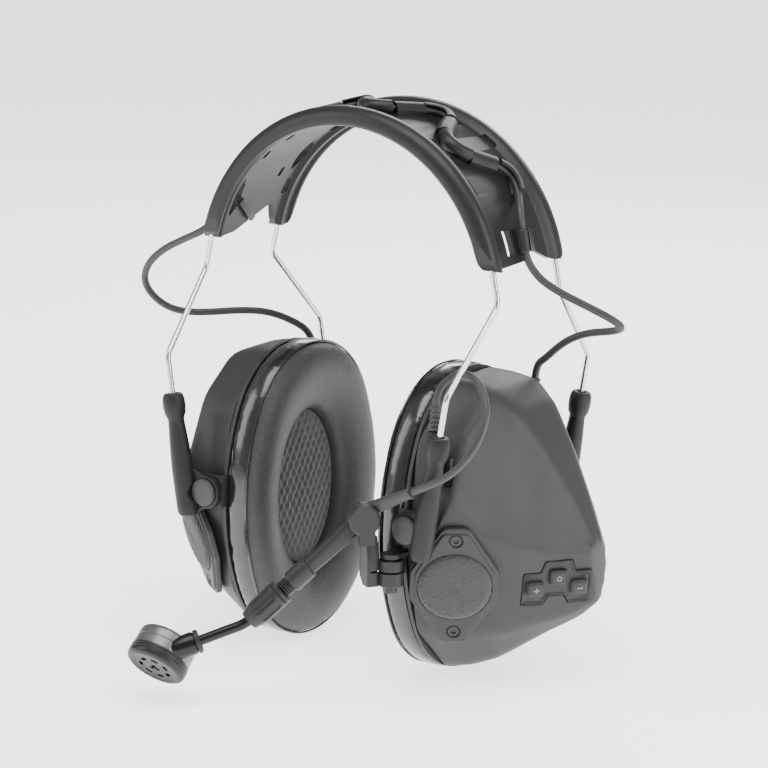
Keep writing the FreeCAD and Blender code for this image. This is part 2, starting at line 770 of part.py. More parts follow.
def make_boom_bracket():
    """A split clamp round the pin, a column and the rear half of the boom's joint."""
    clamp = cylinder("4.1", "9.0", along((POST.x, POST.y, -14.4), (0, 0, 1)))
    column = box("7.4", "4.4", "16.5", axes((30.5, -48.3, -14.4), (0.85, -0.52, 0), (0, 0, 1)))
    ear_start = EYE - EYE_AXIS * 5.2
    ear = cylinder("dims.eye_radius", "dims.eye_thickness", along(ear_start, EYE_AXIS))
    neck_foot = EYE - EYE_AXIS * 3.5 - BOOM_HEADING * 0.95
    neck = box("5.4", "3.4", "9", axes((neck_foot.x, neck_foot.y, 1.0), BOOM_HEADING, (0, 0, 1)))
    bore = cylinder("2.25", "30", along((POST.x, POST.y, -20), (0, 0, 1)))
    slit = box("10", "10", "0.7", Placement(Vector(POST.x + 1, POST.y, -9.4), Rotation()))
    pin_hole = cylinder("1.8", "20", along(EYE - EYE_AXIS * 10, EYE_AXIS))
    return publish(cut(fuse(clamp, column, neck, ear), bore, slit, pin_hole), "boom_bracket")


make_boom_mount()
make_boom_bracket()
publish(cylinder("2.1", "1.6", along((POST.x, POST.y, -16.7), (0, 0, 1))), "bracket_screw")
publish(cylinder("1.75", "6.0", along(EYE - EYE_AXIS * 5.2, EYE_AXIS)), "boom_pivot_pin")


def boom_point(distance):
    return EYE + BOOM_WAY * distance


def make_boom_arm():
    eye = cylinder("dims.eye_radius", "dims.eye_thickness", along(EYE - EYE_AXIS * 1.7, EYE_AXIS))
    hole = cylinder("1.8", "10", along(EYE - EYE_AXIS * 5, EYE_AXIS))
    dish = cylinder("3.4", "3", along(EYE + EYE_AXIS * 0.9, EYE_AXIS))
    neck = cone("1.25", "3.1", "7.6", along(boom_point(3.4), BOOM_WAY))
    arm = cone("3.1", "2.7", "14.4", along(boom_point(11), BOOM_WAY))
    collar = cylinder("3.65", "8", along(boom_point(24), BOOM_WAY))
    thread = cylinder("2.6", "3.4", along(boom_point(32), BOOM_WAY))
    return publish(cut(fuse(eye, neck, arm, collar, thread), hole, dish), "boom_arm")


make_boom_arm()


def make_sleeve():
    """The fluted nut that grips the rod."""
    body = fuse(cylinder("4.5", "10.5", along(boom_point(35.6), BOOM_WAY)),
                cone("4.5", "3.2", "4.5", along(boom_point(46.1), BOOM_WAY)))
    bore = cylinder("dims.rod_radius + 0.05", "30", along(boom_point(30), BOOM_WAY))
    mouth = cylinder("2.4", "6", along(boom_point(47.6), BOOM_WAY))
    return publish(cut(body, bore, mouth), "boom_nut")


make_sleeve()


def heading_point(reach, height):
    """A point in the boom's upright plane."""
    point = EYE + BOOM_HEADING * reach
    return Vector(point.x, point.y, height)


ROD_ROUTE = [boom_point(36.0), boom_point(52.0), heading_point(45.5, -28.6), heading_point(56.0, -32.4)]
rod_wire = bent_wire(ROD_ROUTE, [16.0, 40.0])
rod = doc.addObject("Part::Feature", "boom_rod")
rod.Shape = tube_along(rod_wire, size("rod_radius"))
rod.Placement = Placement()
publish(rod, "boom_rod")

ROD_END = ROD_ROUTE[3]
BARREL_WAY = (ROD_END - ROD_ROUTE[2]).normalize()
CAPSULE_OFFSET = Vector(-3.3, 4.8, -1.25)     # from the sleeve's axis to the drum's
CAPSULE_CENTRE = ROD_END + BARREL_WAY * 10.9 + CAPSULE_OFFSET
CAPSULE_WAY = Vector(0.004, -0.731, -0.684).normalize()


def make_microphone():
    """A ring on the rod's end, and the round capsule whose sleeve turns on the rod beyond it."""
    ring = cylinder("4.0", "1.6", along(ROD_END - BARREL_WAY * 3.0, BARREL_WAY))
    grip = cylinder("dims.rod_radius + 0.02", "4", along(ROD_END - BARREL_WAY * 4.0, BARREL_WAY))
    publish(cut(ring, grip), "mic_barrel")
    base = along(CAPSULE_CENTRE - CAPSULE_WAY * 5.9, CAPSULE_WAY)
    drum = cylinder("dims.capsule_radius", "9.2", base)
    chamber = cylinder("8.4", "7.0", base * Placement(Vector(0, 0, 2.7), Rotation()))
    sleeve_start = ROD_END - BARREL_WAY * 1.3
    sleeve = cylinder("3.9", "9", along(sleeve_start, BARREL_WAY))
    bore = cylinder("dims.rod_radius + 0.05", "1.5", along(sleeve_start - BARREL_WAY * 0.1, BARREL_WAY))
    publish(cut(fuse(drum, sleeve), chamber, bore), "mic_housing")
    element = cylinder("4.8", "4.5", base * Placement(Vector(0, 0, 3.2), Rotation()))
    publish(element, "mic_element")
    disc = cylinder("dims.capsule_radius - 0.2", "2.5", base * Placement(Vector(0, 0, 9.3), Rotation()))
    slots = [cylinder("1.0", "4", base * Placement(Vector(*slot_spot(i)), Rotation())) for i in range(8)]
    publish(cut(disc, *slots), "mic_grille")


def slot_spot(index):
    angle = math.radians(45 * index)
    return (6.2 * math.cos(angle), 6.2 * math.sin(angle), 8.8)


make_microphone()

# ---------------------------------------------------------------- cables
LEFT_CLIP = Vector(*on_arch(70.4, -1, CABLE_RIDE + 0.3))
CLIP_WAY = Vector(0.18, 0, -0.984).normalize()
BAND_END = Vector(-62.0, -11.5, 93.0)
BAND_LEAVE = Vector(-0.78, -0.20, -0.60).normalize()
JOIN_GAP = 0.03            # between two cables end to end, and between a cable and its boot


def band_route():
    """The zigzag over the headband, from the clip on the wearer's left to the far end."""
    route = [LEFT_CLIP - CLIP_WAY * JOIN_GAP, LEFT_CLIP - CLIP_WAY * 7.5]
    for index, angle in enumerate(HOOK_ANGLES):
        y = hook_side(index) * HOOK_OFFSET
        route.append(on_arch(angle + HOOK_HALF_STEP, y, CABLE_RIDE))
        route.append(on_arch(angle - HOOK_HALF_STEP, y, CABLE_RIDE))
    route.append(BAND_END - BAND_LEAVE * 5.0)
    route.append(BAND_END)
    return route


cord("band_cable", band_route(), size("cable_radius"))

LEFT_LOOP = [LEFT_CLIP, LEFT_CLIP + CLIP_WAY * 6.0, (62.6, 1.0, 85.0), (69.0, 3.5, 80.6), (77.6, 7.0, 76.4),
             (85.3, 10.5, 72.5), (88.3, 14.5, 68.8), (80.9, 18.5, 66.3), (71.9, 21.5, 64.5), (64.1, 23.5, 61.8),
             (57.4, 25.0, 57.8), (51.5, 25.9, 52.5), BOOT_END + BOOT_WAY * 5.0, BOOT_END + BOOT_WAY * JOIN_GAP]
cord("left_link_cable", LEFT_LOOP, size("cable_radius"))

RIGHT_BOOT = Vector(-BOOT_END.x, BOOT_END.y, BOOT_END.z)
RIGHT_BOOT_WAY = Vector(-BOOT_WAY.x, BOOT_WAY.y, BOOT_WAY.z)
RIGHT_LOOP = [BAND_END + BAND_LEAVE * JOIN_GAP, BAND_END + BAND_LEAVE * 6.5, (-74.5, -12.5, 85.9),
              (-84.5, -13.0, 81.0), (-91.7, -12.5, 75.1), (-95.8, -10.0, 68.9), (-95.8, -6.5, 63.0),
              (-91.6, -2.0, 57.7), (-85.9, 3.0, 55.7), (-79.2, 8.5, 55.8), (-71.1, 14.5, 56.6),
              (-63.1, 19.5, 56.4), (-56.2, 23.5, 54.0), RIGHT_BOOT + RIGHT_BOOT_WAY * 5.0,
              RIGHT_BOOT + RIGHT_BOOT_WAY * JOIN_GAP]
cord("right_link_cable", RIGHT_LOOP, size("cable_radius"))


def make_clip():
    """The sleeve that holds the cable at the end of the headband."""
    outer = cylinder("2.5", "7.4", along(LEFT_CLIP - CLIP_WAY * 3.2, CLIP_WAY))
    bore = cylinder("dims.cable_radius + 0.03", "20", along(LEFT_CLIP - CLIP_WAY * 5, CLIP_WAY))
    return publish(cut(outer, bore), "cable_clip")


make_clip()

SHEATH_START = Vector(48.9, -51.2, 20.2)
SHEATH_END = EYE + EYE_AXIS * 3.8 + Vector(0.5, 0, 1.0)
SHEATH_WAY = (SHEATH_END - SHEATH_START).normalize()
PLUG_EXIT = Vector(PLUG_TOP.x, PLUG_TOP.y, 46.6)
MIC_LEAD = [PLUG_EXIT + Vector(0, 0, JOIN_GAP), PLUG_EXIT + Vector(0, 0, 5.0), (53.4, -32.6, 57.4),
            (61.2, -33.4, 56.9), (69.0, -38.6, 50.3), (70.8, -43.2, 42.4), (68.2, -47.8, 33.7),
            (62.2, -50.4, 27.0), SHEATH_START - SHEATH_WAY * 6.0, SHEATH_START - SHEATH_WAY * JOIN_GAP]
cord("mic_cable", MIC_LEAD, 1.25)


def make_sheath():
    """The tapered boot from the lead down to the boom's joint."""
    ring = cylinder("2.1", "1.4", along(SHEATH_START, SHEATH_WAY))
    start = SHEATH_START + SHEATH_WAY * 1.4
    body = cone("1.9", "2.7", f"{(SHEATH_END - start).Length}", along(start, SHEATH_WAY))
    return publish(fuse(ring, body), "mic_cable_sheath")


make_sheath()


# ---------------------------------------------------------------- check and write
def check_and_write():
    doc.recompute()
    failed = [o.Label for o in doc.Objects if "Invalid" in o.State or "Error" in o.State]
    if failed:
        raise SystemExit(f"failed objects: {failed}")
    os.makedirs("parts", exist_ok=True)
    for obj in parts:
        shape = obj.Shape
        if shape.isNull() or not shape.isValid() or not shape.Solids:
            raise SystemExit(f"{obj.Label} has no valid shape")
        print(f"{obj.Label:26s} solids {len(shape.Solids)} volume {shape.Volume:9.1f}",
              "box", [round(v, 1) for v in (shape.BoundBox.XMin, shape.BoundBox.YMin, shape.BoundBox.ZMin,
                                            shape.BoundBox.XMax, shape.BoundBox.YMax, shape.BoundBox.ZMax)])
        shape.exportStep(f"parts/{obj.Label}.step")
    print(len(parts), "sub-parts")


check_and_write()
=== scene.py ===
# %% [markdown]
# # A communications headset
# Two deep ear-muff cups hang from a wire-sprung headband. The cup on the wearer's left carries three keys,
# a jack and a boom microphone. The metal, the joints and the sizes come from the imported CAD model, and this
# file gives every visible piece its moulded shape and its finish. +X is the wearer's left, -Y is forward.

# %% Load the frame
import bpy
import bmesh
import json
import math
from mathutils import Matrix, Vector


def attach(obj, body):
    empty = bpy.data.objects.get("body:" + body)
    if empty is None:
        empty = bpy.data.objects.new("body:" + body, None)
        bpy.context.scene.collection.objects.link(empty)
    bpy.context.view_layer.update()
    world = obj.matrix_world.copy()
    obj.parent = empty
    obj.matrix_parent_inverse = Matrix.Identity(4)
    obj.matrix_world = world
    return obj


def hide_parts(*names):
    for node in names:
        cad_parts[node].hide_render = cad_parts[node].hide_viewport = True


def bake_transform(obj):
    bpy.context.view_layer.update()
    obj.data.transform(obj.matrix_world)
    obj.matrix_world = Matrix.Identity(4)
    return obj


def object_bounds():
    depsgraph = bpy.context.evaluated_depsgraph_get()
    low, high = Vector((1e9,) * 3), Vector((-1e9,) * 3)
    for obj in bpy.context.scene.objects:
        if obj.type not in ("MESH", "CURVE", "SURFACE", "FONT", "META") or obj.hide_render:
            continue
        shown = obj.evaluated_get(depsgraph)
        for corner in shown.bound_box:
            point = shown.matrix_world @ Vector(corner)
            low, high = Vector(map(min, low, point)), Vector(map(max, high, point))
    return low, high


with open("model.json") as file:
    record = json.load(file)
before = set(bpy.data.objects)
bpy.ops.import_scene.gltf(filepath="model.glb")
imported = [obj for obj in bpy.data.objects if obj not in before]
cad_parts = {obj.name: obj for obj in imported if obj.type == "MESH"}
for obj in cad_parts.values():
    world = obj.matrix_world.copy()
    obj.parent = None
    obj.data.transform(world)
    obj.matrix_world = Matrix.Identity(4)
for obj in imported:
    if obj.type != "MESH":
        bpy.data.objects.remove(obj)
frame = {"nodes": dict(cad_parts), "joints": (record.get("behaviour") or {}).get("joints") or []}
cad_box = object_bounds()
JOINTS = {joint["name"]: joint for joint in frame["joints"]}
MM = 0.001
print("CAD box", [round(v, 4) for corner in cad_box for v in corner])

# %% [markdown]
# ## The camera
# A product picture is taken from well back with a long lens, so that near and far pieces keep their
# proportions. The camera is placed by its angle round the object, its height and its distance, and a
# slight roll, as a tripod has.

# %% Camera
VIEW_AZIMUTH = math.radians(34.4)
VIEW_ELEVATION = math.radians(12.0)
VIEW_ROLL = math.radians(0.75)
VIEW_DISTANCE = 1.0
AIM = Vector((0.0016, 0.0011, 0.0410))


def add_camera():
    """A camera that looks at AIM from the chosen angle."""
    back = Vector((math.sin(VIEW_AZIMUTH) * math.cos(VIEW_ELEVATION),
                   -math.cos(VIEW_AZIMUTH) * math.cos(VIEW_ELEVATION), math.sin(VIEW_ELEVATION)))
    turn = back.to_track_quat("Z", "Y").to_matrix().to_4x4() @ Matrix.Rotation(VIEW_ROLL, 4, "Z")
    data = bpy.data.cameras.new("camera")
    data.lens = 135.9
    data.sensor_width = 36.0
    data.clip_start = 0.05
    camera = bpy.data.objects.new("camera", data)
    camera.matrix_world = Matrix.Translation(AIM + back * VIEW_DISTANCE) @ turn
    bpy.context.scene.collection.objects.link(camera)
    bpy.context.scene.camera = camera
    return camera


camera = add_camera()
print("camera at", [round(v, 3) for v in camera.matrix_world.translation])

# %% [markdown]
# ## Materials
# Nearly everything here is black or dark grey, so the finishes differ in gloss and in fine relief rather than
# in colour: moulded shells are satin with a fine spark-eroded grain, the cushion's vinyl is glossy on the side
# and satin where it meets the skin, cables are matt rubber, and the spring wires are bright drawn steel.
# Each material is a small tree of nodes on Object coordinates, so it needs no unwrapping.

# %% A helper for node trees
def new_material(name, color, roughness, metallic=0.0):
    """A Principled material, returned with its tree, its shader and its object coordinates."""
    material = bpy.data.materials.new(name)
    material.use_nodes = True
    tree = material.node_tree
    shader = tree.nodes["Principled BSDF"]
    shader.inputs["Base Color"].default_value = (*color, 1.0)
    shader.inputs["Roughness"].default_value = roughness
    shader.inputs["Metallic"].default_value = metallic
    place = tree.nodes.new("ShaderNodeTexCoord")
    return material, tree, shader, place.outputs["Object"]


def noise_node(tree, place, scale, detail=2.0, roughness=0.5):
    """Fractal noise, with its scale in cycles per metre."""
    node = tree.nodes.new("ShaderNodeTexNoise")
    node.inputs["Scale"].default_value = scale
    node.inputs["Detail"].default_value = detail
    node.inputs["Roughness"].default_value = roughness
    tree.links.new(place, node.inputs["Vector"])
    return node.outputs["Fac"]


def remap(tree, value, low, high):
    """Spread a 0 to 1 value between two others."""
    node = tree.nodes.new("ShaderNodeMapRange")
    node.inputs["To Min"].default_value = low
    node.inputs["To Max"].default_value = high
    tree.links.new(value, node.inputs["Value"])
    return node.outputs["Result"]


def mix_colors(tree, factor, dark, light):
    """A colour between two, by a factor."""
    node = tree.nodes.new("ShaderNodeMix")
    node.data_type = "RGBA"
    node.inputs["A"].default_value = (*dark, 1.0)
    node.inputs["B"].default_value = (*light, 1.0)
    tree.links.new(factor, node.inputs["Factor"])
    return node.outputs["Result"]


def add_bump(tree, shader, height, depth, strength=1.0):
    """Surface relief of a given depth in metres."""
    node = tree.nodes.new("ShaderNodeBump")
    node.inputs["Strength"].default_value = strength
    node.inputs["Distance"].default_value = depth
    tree.links.new(height, node.inputs["Height"])
    tree.links.new(node.outputs["Normal"], shader.inputs["Normal"])
    return node


# %% Moulded plastics
def moulded(name, color, roughness, grain=2600.0, relief=0.00002, coat=0.0):
    """Satin plastic: a fine grain, a slow change of gloss, and a little dust in the colour."""
    material, tree, shader, place = new_material(name, color, roughness)
    cloud = noise_node(tree, place, 38.0, 3.0)
    dark = tuple(c * 0.90 for c in color)
    light = tuple(c * 1.12 for c in color)
    tree.links.new(mix_colors(tree, cloud, dark, light), shader.inputs["Base Color"])
    handled = noise_node(tree, place, 120.0, 4.0)
    tree.links.new(remap(tree, handled, roughness - 0.06, roughness + 0.07), shader.inputs["Roughness"])
    add_bump(tree, shader, noise_node(tree, place, grain, 2.0), relief)
    shader.inputs["Specular IOR Level"].default_value = 0.3
    shader.inputs["Coat Weight"].default_value = coat
    shader.inputs["Coat Roughness"].default_value = 0.25
    return material


SHELL = moulded("shell_satin_grey", (0.030, 0.030, 0.0312), 0.46)
BAND = moulded("band_satin_black", (0.012, 0.012, 0.0125), 0.40)
ARM = moulded("arm_charcoal", (0.012, 0.012, 0.0125), 0.48)
DISC = moulded("pivot_disc_grey", (0.045, 0.045, 0.046), 0.42)
BOOM = moulded("boom_charcoal", (0.020, 0.020, 0.021), 0.42)
GRILLE = moulded("grille_black", (0.014, 0.014, 0.0145), 0.38)
ROD = moulded("rod_black_gloss", (0.006, 0.006, 0.0063), 0.24, relief=0.000008)
print("plastics", [m.name for m in (SHELL, BAND, ARM, DISC, BOOM, GRILLE, ROD)])


# %% Rubber, metal and internals
def rubber(name, color, roughness=0.62):
    """Matt rubber: a soft powdery bloom over a fine skin."""
    material, tree, shader, place = new_material(name, color, roughness)
    bloom = noise_node(tree, place, 90.0, 5.0, 0.6)
    dark = tuple(c * 0.85 for c in color)
    light = tuple(c * 1.25 for c in color)
    tree.links.new(mix_colors(tree, bloom, dark, light), shader.inputs["Base Color"])
    add_bump(tree, shader, noise_node(tree, place, 3800.0, 2.0), 0.000015)
    shader.inputs["Sheen Weight"].default_value = 0.08
    return material


def drawn_steel():
    """Bright wire: fine lines round the wire from the drawing die would be too small to see, so the
    polish varies in soft patches."""
    material, tree, shader, place = new_material("drawn_steel", (0.68, 0.68, 0.69), 0.22, 1.0)
    streak = noise_node(tree, place, 260.0, 3.0)
    tree.links.new(remap(tree, streak, 0.16, 0.32), shader.inputs["Roughness"])
    add_bump(tree, shader, noise_node(tree, place, 2200.0, 2.0), 0.000006)
    return material


CABLE = rubber("cable_rubber", (0.020, 0.020, 0.021), 0.50)
KEY = rubber("key_rubber", (0.010, 0.010, 0.0105), 0.55)
STEEL = drawn_steel()
SCREW = moulded("blackened_screw", (0.030, 0.030, 0.032), 0.30)
BOARD = moulded("solder_mask_green", (0.010, 0.075, 0.030), 0.30)
CELL = moulded("cell_sleeve", (0.20, 0.20, 0.21), 0.35)
SPEAKER = moulded("speaker_frame", (0.05, 0.05, 0.05), 0.50)
CAPSULE = moulded("capsule_satin_metal", (0.16, 0.16, 0.163), 0.33)
CAPSULE.node_tree.nodes["Principled BSDF"].inputs["Metallic"].default_value = 0.75
print("rubbers and metals ready")


# %% [markdown]
# ## The cables
# A cable is a fixed length of something flexible. Each one follows the same route as in the CAD, and a smooth
# NURBS curve turns that route's few points into the even bends that a rubber cable takes. The link cable from
# the headband to each cup has slack, so that the cup can slide and tilt, and the slack stands out in a loop.

# %% A cable on a smooth curve
def cable_curve(name, points, radius, material):
    """A round cable: a NURBS curve through the route, with a round section."""
    curve = bpy.data.curves.new(name, "CURVE")
    curve.dimensions = "3D"
    curve.resolution_u = 12
    curve.bevel_depth = radius
    curve.bevel_resolution = 5
    curve.use_fill_caps = True
    spline = curve.splines.new("NURBS")
    spline.points.add(len(points) - 1)
    for control, point in zip(spline.points, points):
        control.co = (*[c * MM for c in point], 1.0)
    spline.order_u = 3
    spline.use_endpoint_u = True
    curve.materials.append(material)
    piece = bpy.data.objects.new(name, curve)
    bpy.context.scene.collection.objects.link(piece)
    return piece


def curve_length(piece):
    """The length of the curve's own line."""
    depth = piece.data.bevel_depth
    piece.data.bevel_depth = 0.0
    line = bpy.data.meshes.new_from_object(piece)
    piece.data.bevel_depth = depth
    return sum((line.vertices[e.vertices[0]].co - line.vertices[e.vertices[1]].co).length for e in line.edges)


# %% The arch that the band cable follows
ARCH_HEIGHT = 77.0
CABLE_RIDE = 61.0
HOOK_ANGLES = (50, 34, 18, 2, -14, -30, -46, -62)
HOOK_OFFSET = 9.0
HOOK_HALF_STEP = 4.0


def on_arch(angle, y, radius):
    """A point on the headband's arch, by its angle from the top towards the wearer's left."""
    a = math.radians(angle)
    return Vector((radius * math.sin(a), y, ARCH_HEIGHT + radius * math.cos(a)))


# %% Route of the cable over the headband
LEFT_CLIP = on_arch(70.4, -1, CABLE_RIDE + 0.3)
CLIP_WAY = Vector((0.18, 0, -0.984)).normalized()
BAND_END = Vector((-62.0, -11.5, 93.0))
BAND_LEAVE = Vector((-0.78, -0.20, -0.60)).normalized()
JOIN_GAP = 0.03


def band_route():
    """The zigzag between the hooks, from the clip on the wearer's left to the far end."""
    route = [LEFT_CLIP - CLIP_WAY * JOIN_GAP, LEFT_CLIP - CLIP_WAY * 7.5]
    for index, angle in enumerate(HOOK_ANGLES):
        y = HOOK_OFFSET if index % 2 == 0 else -HOOK_OFFSET
        route.append(on_arch(angle + HOOK_HALF_STEP, y, CABLE_RIDE))
        route.append(on_arch(angle - HOOK_HALF_STEP, y, CABLE_RIDE))
    route.append(BAND_END - BAND_LEAVE * 5.0)
    route.append(BAND_END)
    return route


CABLE_RADIUS = 1.3 * MM
band_cable = cable_curve("cable_over_headband", band_route(), CABLE_RADIUS, CABLE)
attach(band_cable, "headband")
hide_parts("band_cable")
print("cable over the headband", round(curve_length(band_cable), 4), "m")

# %% The free loops of cable
BOOT_END = Vector((47.1, 26.3, 44.8))
BOOT_WAY = Vector((0.12, -0.05, 1.0)).normalized()
BOOT_BASE = BOOT_END - BOOT_WAY * 10.0
RIGHT_BOOT = Vector((-BOOT_END.x, BOOT_END.y, BOOT_END.z))
RIGHT_BOOT_WAY = Vector((-BOOT_WAY.x, BOOT_WAY.y, BOOT_WAY.z))
LEFT_LOOP = [LEFT_CLIP, LEFT_CLIP + CLIP_WAY * 6.0, (62.6, 1.0, 85.0), (69.0, 3.5, 80.6), (77.6, 7.0, 76.4),
             (85.3, 10.5, 72.5), (88.3, 14.5, 68.8), (80.9, 18.5, 66.3), (71.9, 21.5, 64.5), (64.1, 23.5, 61.8),
             (57.4, 25.0, 57.8), (51.5, 25.9, 52.5), BOOT_END + BOOT_WAY * 5.0, BOOT_END + BOOT_WAY * JOIN_GAP]
RIGHT_LOOP = [BAND_END + BAND_LEAVE * JOIN_GAP, BAND_END + BAND_LEAVE * 6.5, (-74.5, -12.5, 85.9),
              (-84.5, -13.0, 81.0), (-91.7, -12.5, 75.1), (-95.8, -10.0, 68.9), (-95.8, -6.5, 63.0),
              (-91.6, -2.0, 57.7), (-85.9, 3.0, 55.7), (-79.2, 8.5, 55.8), (-71.1, 14.5, 56.6),
              (-63.1, 19.5, 56.4), (-56.2, 23.5, 54.0), RIGHT_BOOT + RIGHT_BOOT_WAY * 5.0,
              RIGHT_BOOT + RIGHT_BOOT_WAY * JOIN_GAP]


def free_cable(name, route, radius, body, node):
    """A cable that leaves the object and goes back into it."""
    piece = cable_curve(name, route, radius, CABLE)
    length = curve_length(piece)
    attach(piece, body)
    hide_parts(node)
    print(name, round(length, 4), "m")
    return piece


free_cable("left_cable_loop", LEFT_LOOP, CABLE_RADIUS, "headband", "left_link_cable")
free_cable("right_cable_loop", RIGHT_LOOP, CABLE_RADIUS, "headband", "right_link_cable")

# %% The microphone's lead
PLUG_TOP = Vector((48.6, -37.4, 38.0))
EYE = Vector(JOINTS["boom_lift"]["pos_m"]) / MM
EYE_AXIS = Vector(JOINTS["boom_lift"]["axis"]).normalized()
SHEATH_START = Vector((48.9, -51.2, 20.2))
SHEATH_END = EYE + EYE_AXIS * 3.8 + Vector((0.5, 0.0, 1.0))
SHEATH_WAY = (SHEATH_END - SHEATH_START).normalized()
PLUG_EXIT = PLUG_TOP + Vector((0, 0, 8.6))
MIC_LEAD = [PLUG_EXIT + Vector((0, 0, JOIN_GAP)), PLUG_EXIT + Vector((0, 0, 5.0)), (53.4, -32.6, 57.4),
            (61.2, -33.4, 56.9), (69.0, -38.6, 50.3), (70.8, -43.2, 42.4), (68.2, -47.8, 33.7),
            (62.2, -50.4, 27.0), SHEATH_START - SHEATH_WAY * 6.0, SHEATH_START - SHEATH_WAY * JOIN_GAP]
free_cable("microphone_lead", MIC_LEAD, 1.25 * MM, "left_cup", "mic_cable")

# %% [markdown]
# ## Ways of shaping a piece
# Moulded plastic comes out of a tool in two ways: round things that could be turned on a lathe, and skins
# drawn over a row of sections. The helpers below do the same with Blender's edit-mode operators: a profile is
# extruded point by point and spun, or a ring is extruded from section to section. Work is done in
# millimetres, and a finished piece is brought to its place and to metres in its own mesh.

# %% Selecting nothing, and places in the part's frame
def clear_selection():
    """Leave edit mode and select nothing."""
    if bpy.context.object and bpy.context.object.mode != "OBJECT":
        bpy.ops.object.mode_set(mode="OBJECT")
    bpy.ops.object.select_all(action="DESELECT")


def axes(origin, x_axis, z_axis):
    """A place whose local X and Z run along two directions."""
    z = Vector(z_axis).normalized()
    y = z.cross(Vector(x_axis)).normalized()
    x = y.cross(z)
    turn = Matrix((x, y, z)).transposed().to_4x4()
    return Matrix.Translation(Vector(origin)) @ turn


def along(origin, z_axis):
    """A place whose local Z runs along a direction."""
    turn = Vector((0, 0, 1)).rotation_difference(Vector(z_axis)).to_matrix().to_4x4()
    return Matrix.Translation(Vector(origin)) @ turn


MIRROR_X = Matrix.Diagonal((-1, 1, 1, 1))
MIRROR_Y = Matrix.Diagonal((1, -1, 1, 1))
clear_selection()


# %% Moving a piece into place in its mesh
def settle(piece, place):
    """Move the mesh itself, so that the object stays at the origin."""
    piece.data.transform(place)
    if place.determinant() < 0:
        piece.data.flip_normals()
    piece.data.update()
    return piece


def finish_piece(piece, name, material, body, slot, *nodes, smooth=32):
    """Bring a piece to metres, smooth it, give it its finish, and make it ride on its body, if it has one."""
    settle(piece, Matrix.Scale(MM, 4))
    piece.name = name
    piece.data.name = name
    if material is not None:
        piece.data.materials.clear()
        piece.data.materials.append(material)
    clear_selection()
    piece.select_set(True)
    bpy.context.view_layer.objects.active = piece
    bpy.ops.object.shade_smooth_by_angle(angle=math.radians(smooth))
    clear_selection()
    if body is not None:
        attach(piece, body)
    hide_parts(*nodes)
    return piece


def twin(piece, place):
    """A copy with its own mesh, moved or mirrored."""
    copy = piece.copy()
    copy.data = piece.data.copy()
    bpy.context.scene.collection.objects.link(copy)
    return settle(copy, place)


# %% Modifiers, joining and carving
def apply_modifier(piece, kind, **values):
    """Add one modifier and apply it."""
    clear_selection()
    bpy.context.view_layer.objects.active = piece
    piece.select_set(True)
    modifier = piece.modifiers.new(kind.lower(), kind)
    for key, value in values.items():
        setattr(modifier, key, value)
    bpy.ops.object.modifier_apply(modifier=modifier.name)
    clear_selection()
    return piece


def rounded(piece, width, segments=3, angle=32):
    """Round the sharp edges, as a moulding tool does."""
    return apply_modifier(piece, "BEVEL", width=width, segments=segments, limit_method="ANGLE",
                          angle_limit=math.radians(angle), harden_normals=False)


def subdivided(piece, levels):
    return apply_modifier(piece, "SUBSURF", levels=levels, render_levels=levels)


def joined(*pieces):
    """Several closed shells as one piece."""
    clear_selection()
    for piece in pieces:
        piece.select_set(True)
    bpy.context.view_layer.objects.active = pieces[0]
    if len(pieces) > 1:
        bpy.ops.object.join()
    clear_selection()
    return pieces[0]


def carved(piece, *tools):
    """Cut the tools' shapes out of a piece."""
    tool = joined(*tools)
    apply_modifier(piece, "BOOLEAN", operation="DIFFERENCE", object=tool, solver="EXACT", use_self=True)
    bpy.data.objects.remove(tool)
    return piece


def welded(piece, *others):
    """Unite shells into one skin."""
    for other in others:
        apply_modifier(piece, "BOOLEAN", operation="UNION", object=other, solver="EXACT")
        bpy.data.objects.remove(other)
    return piece


# %% A turned piece
def turned(profile, steps=64, place=None):
    """Extrude a point along a profile of radius and height, and spin it round local Z."""
    clear_selection()
    bpy.ops.mesh.primitive_plane_add(size=1.0)
    piece = bpy.context.object
    bpy.ops.object.mode_set(mode="EDIT")
    mesh = bmesh.from_edit_mesh(piece.data)
    bmesh.ops.delete(mesh, geom=list(mesh.verts)[1:], context="VERTS")
    mesh.verts.ensure_lookup_table()
    mesh.verts[0].co = (profile[0][0], 0.0, profile[0][1])
    mesh.verts[0].select = True
    bmesh.update_edit_mesh(piece.data)
    for (r1, z1), (r2, z2) in zip(profile, profile[1:]):
        bpy.ops.mesh.extrude_vertices_move(TRANSFORM_OT_translate={"value": (r2 - r1, 0.0, z2 - z1)})
    bpy.ops.mesh.select_all(action="SELECT")
    bpy.ops.mesh.spin(steps=steps, angle=math.tau, center=(0, 0, 0), axis=(0, 0, 1))
    bpy.ops.mesh.select_all(action="SELECT")
    bpy.ops.mesh.remove_doubles(threshold=0.0005)
    bpy.ops.mesh.normals_make_consistent(inside=False)
    clear_selection()
    return settle(piece, place) if place is not None else piece


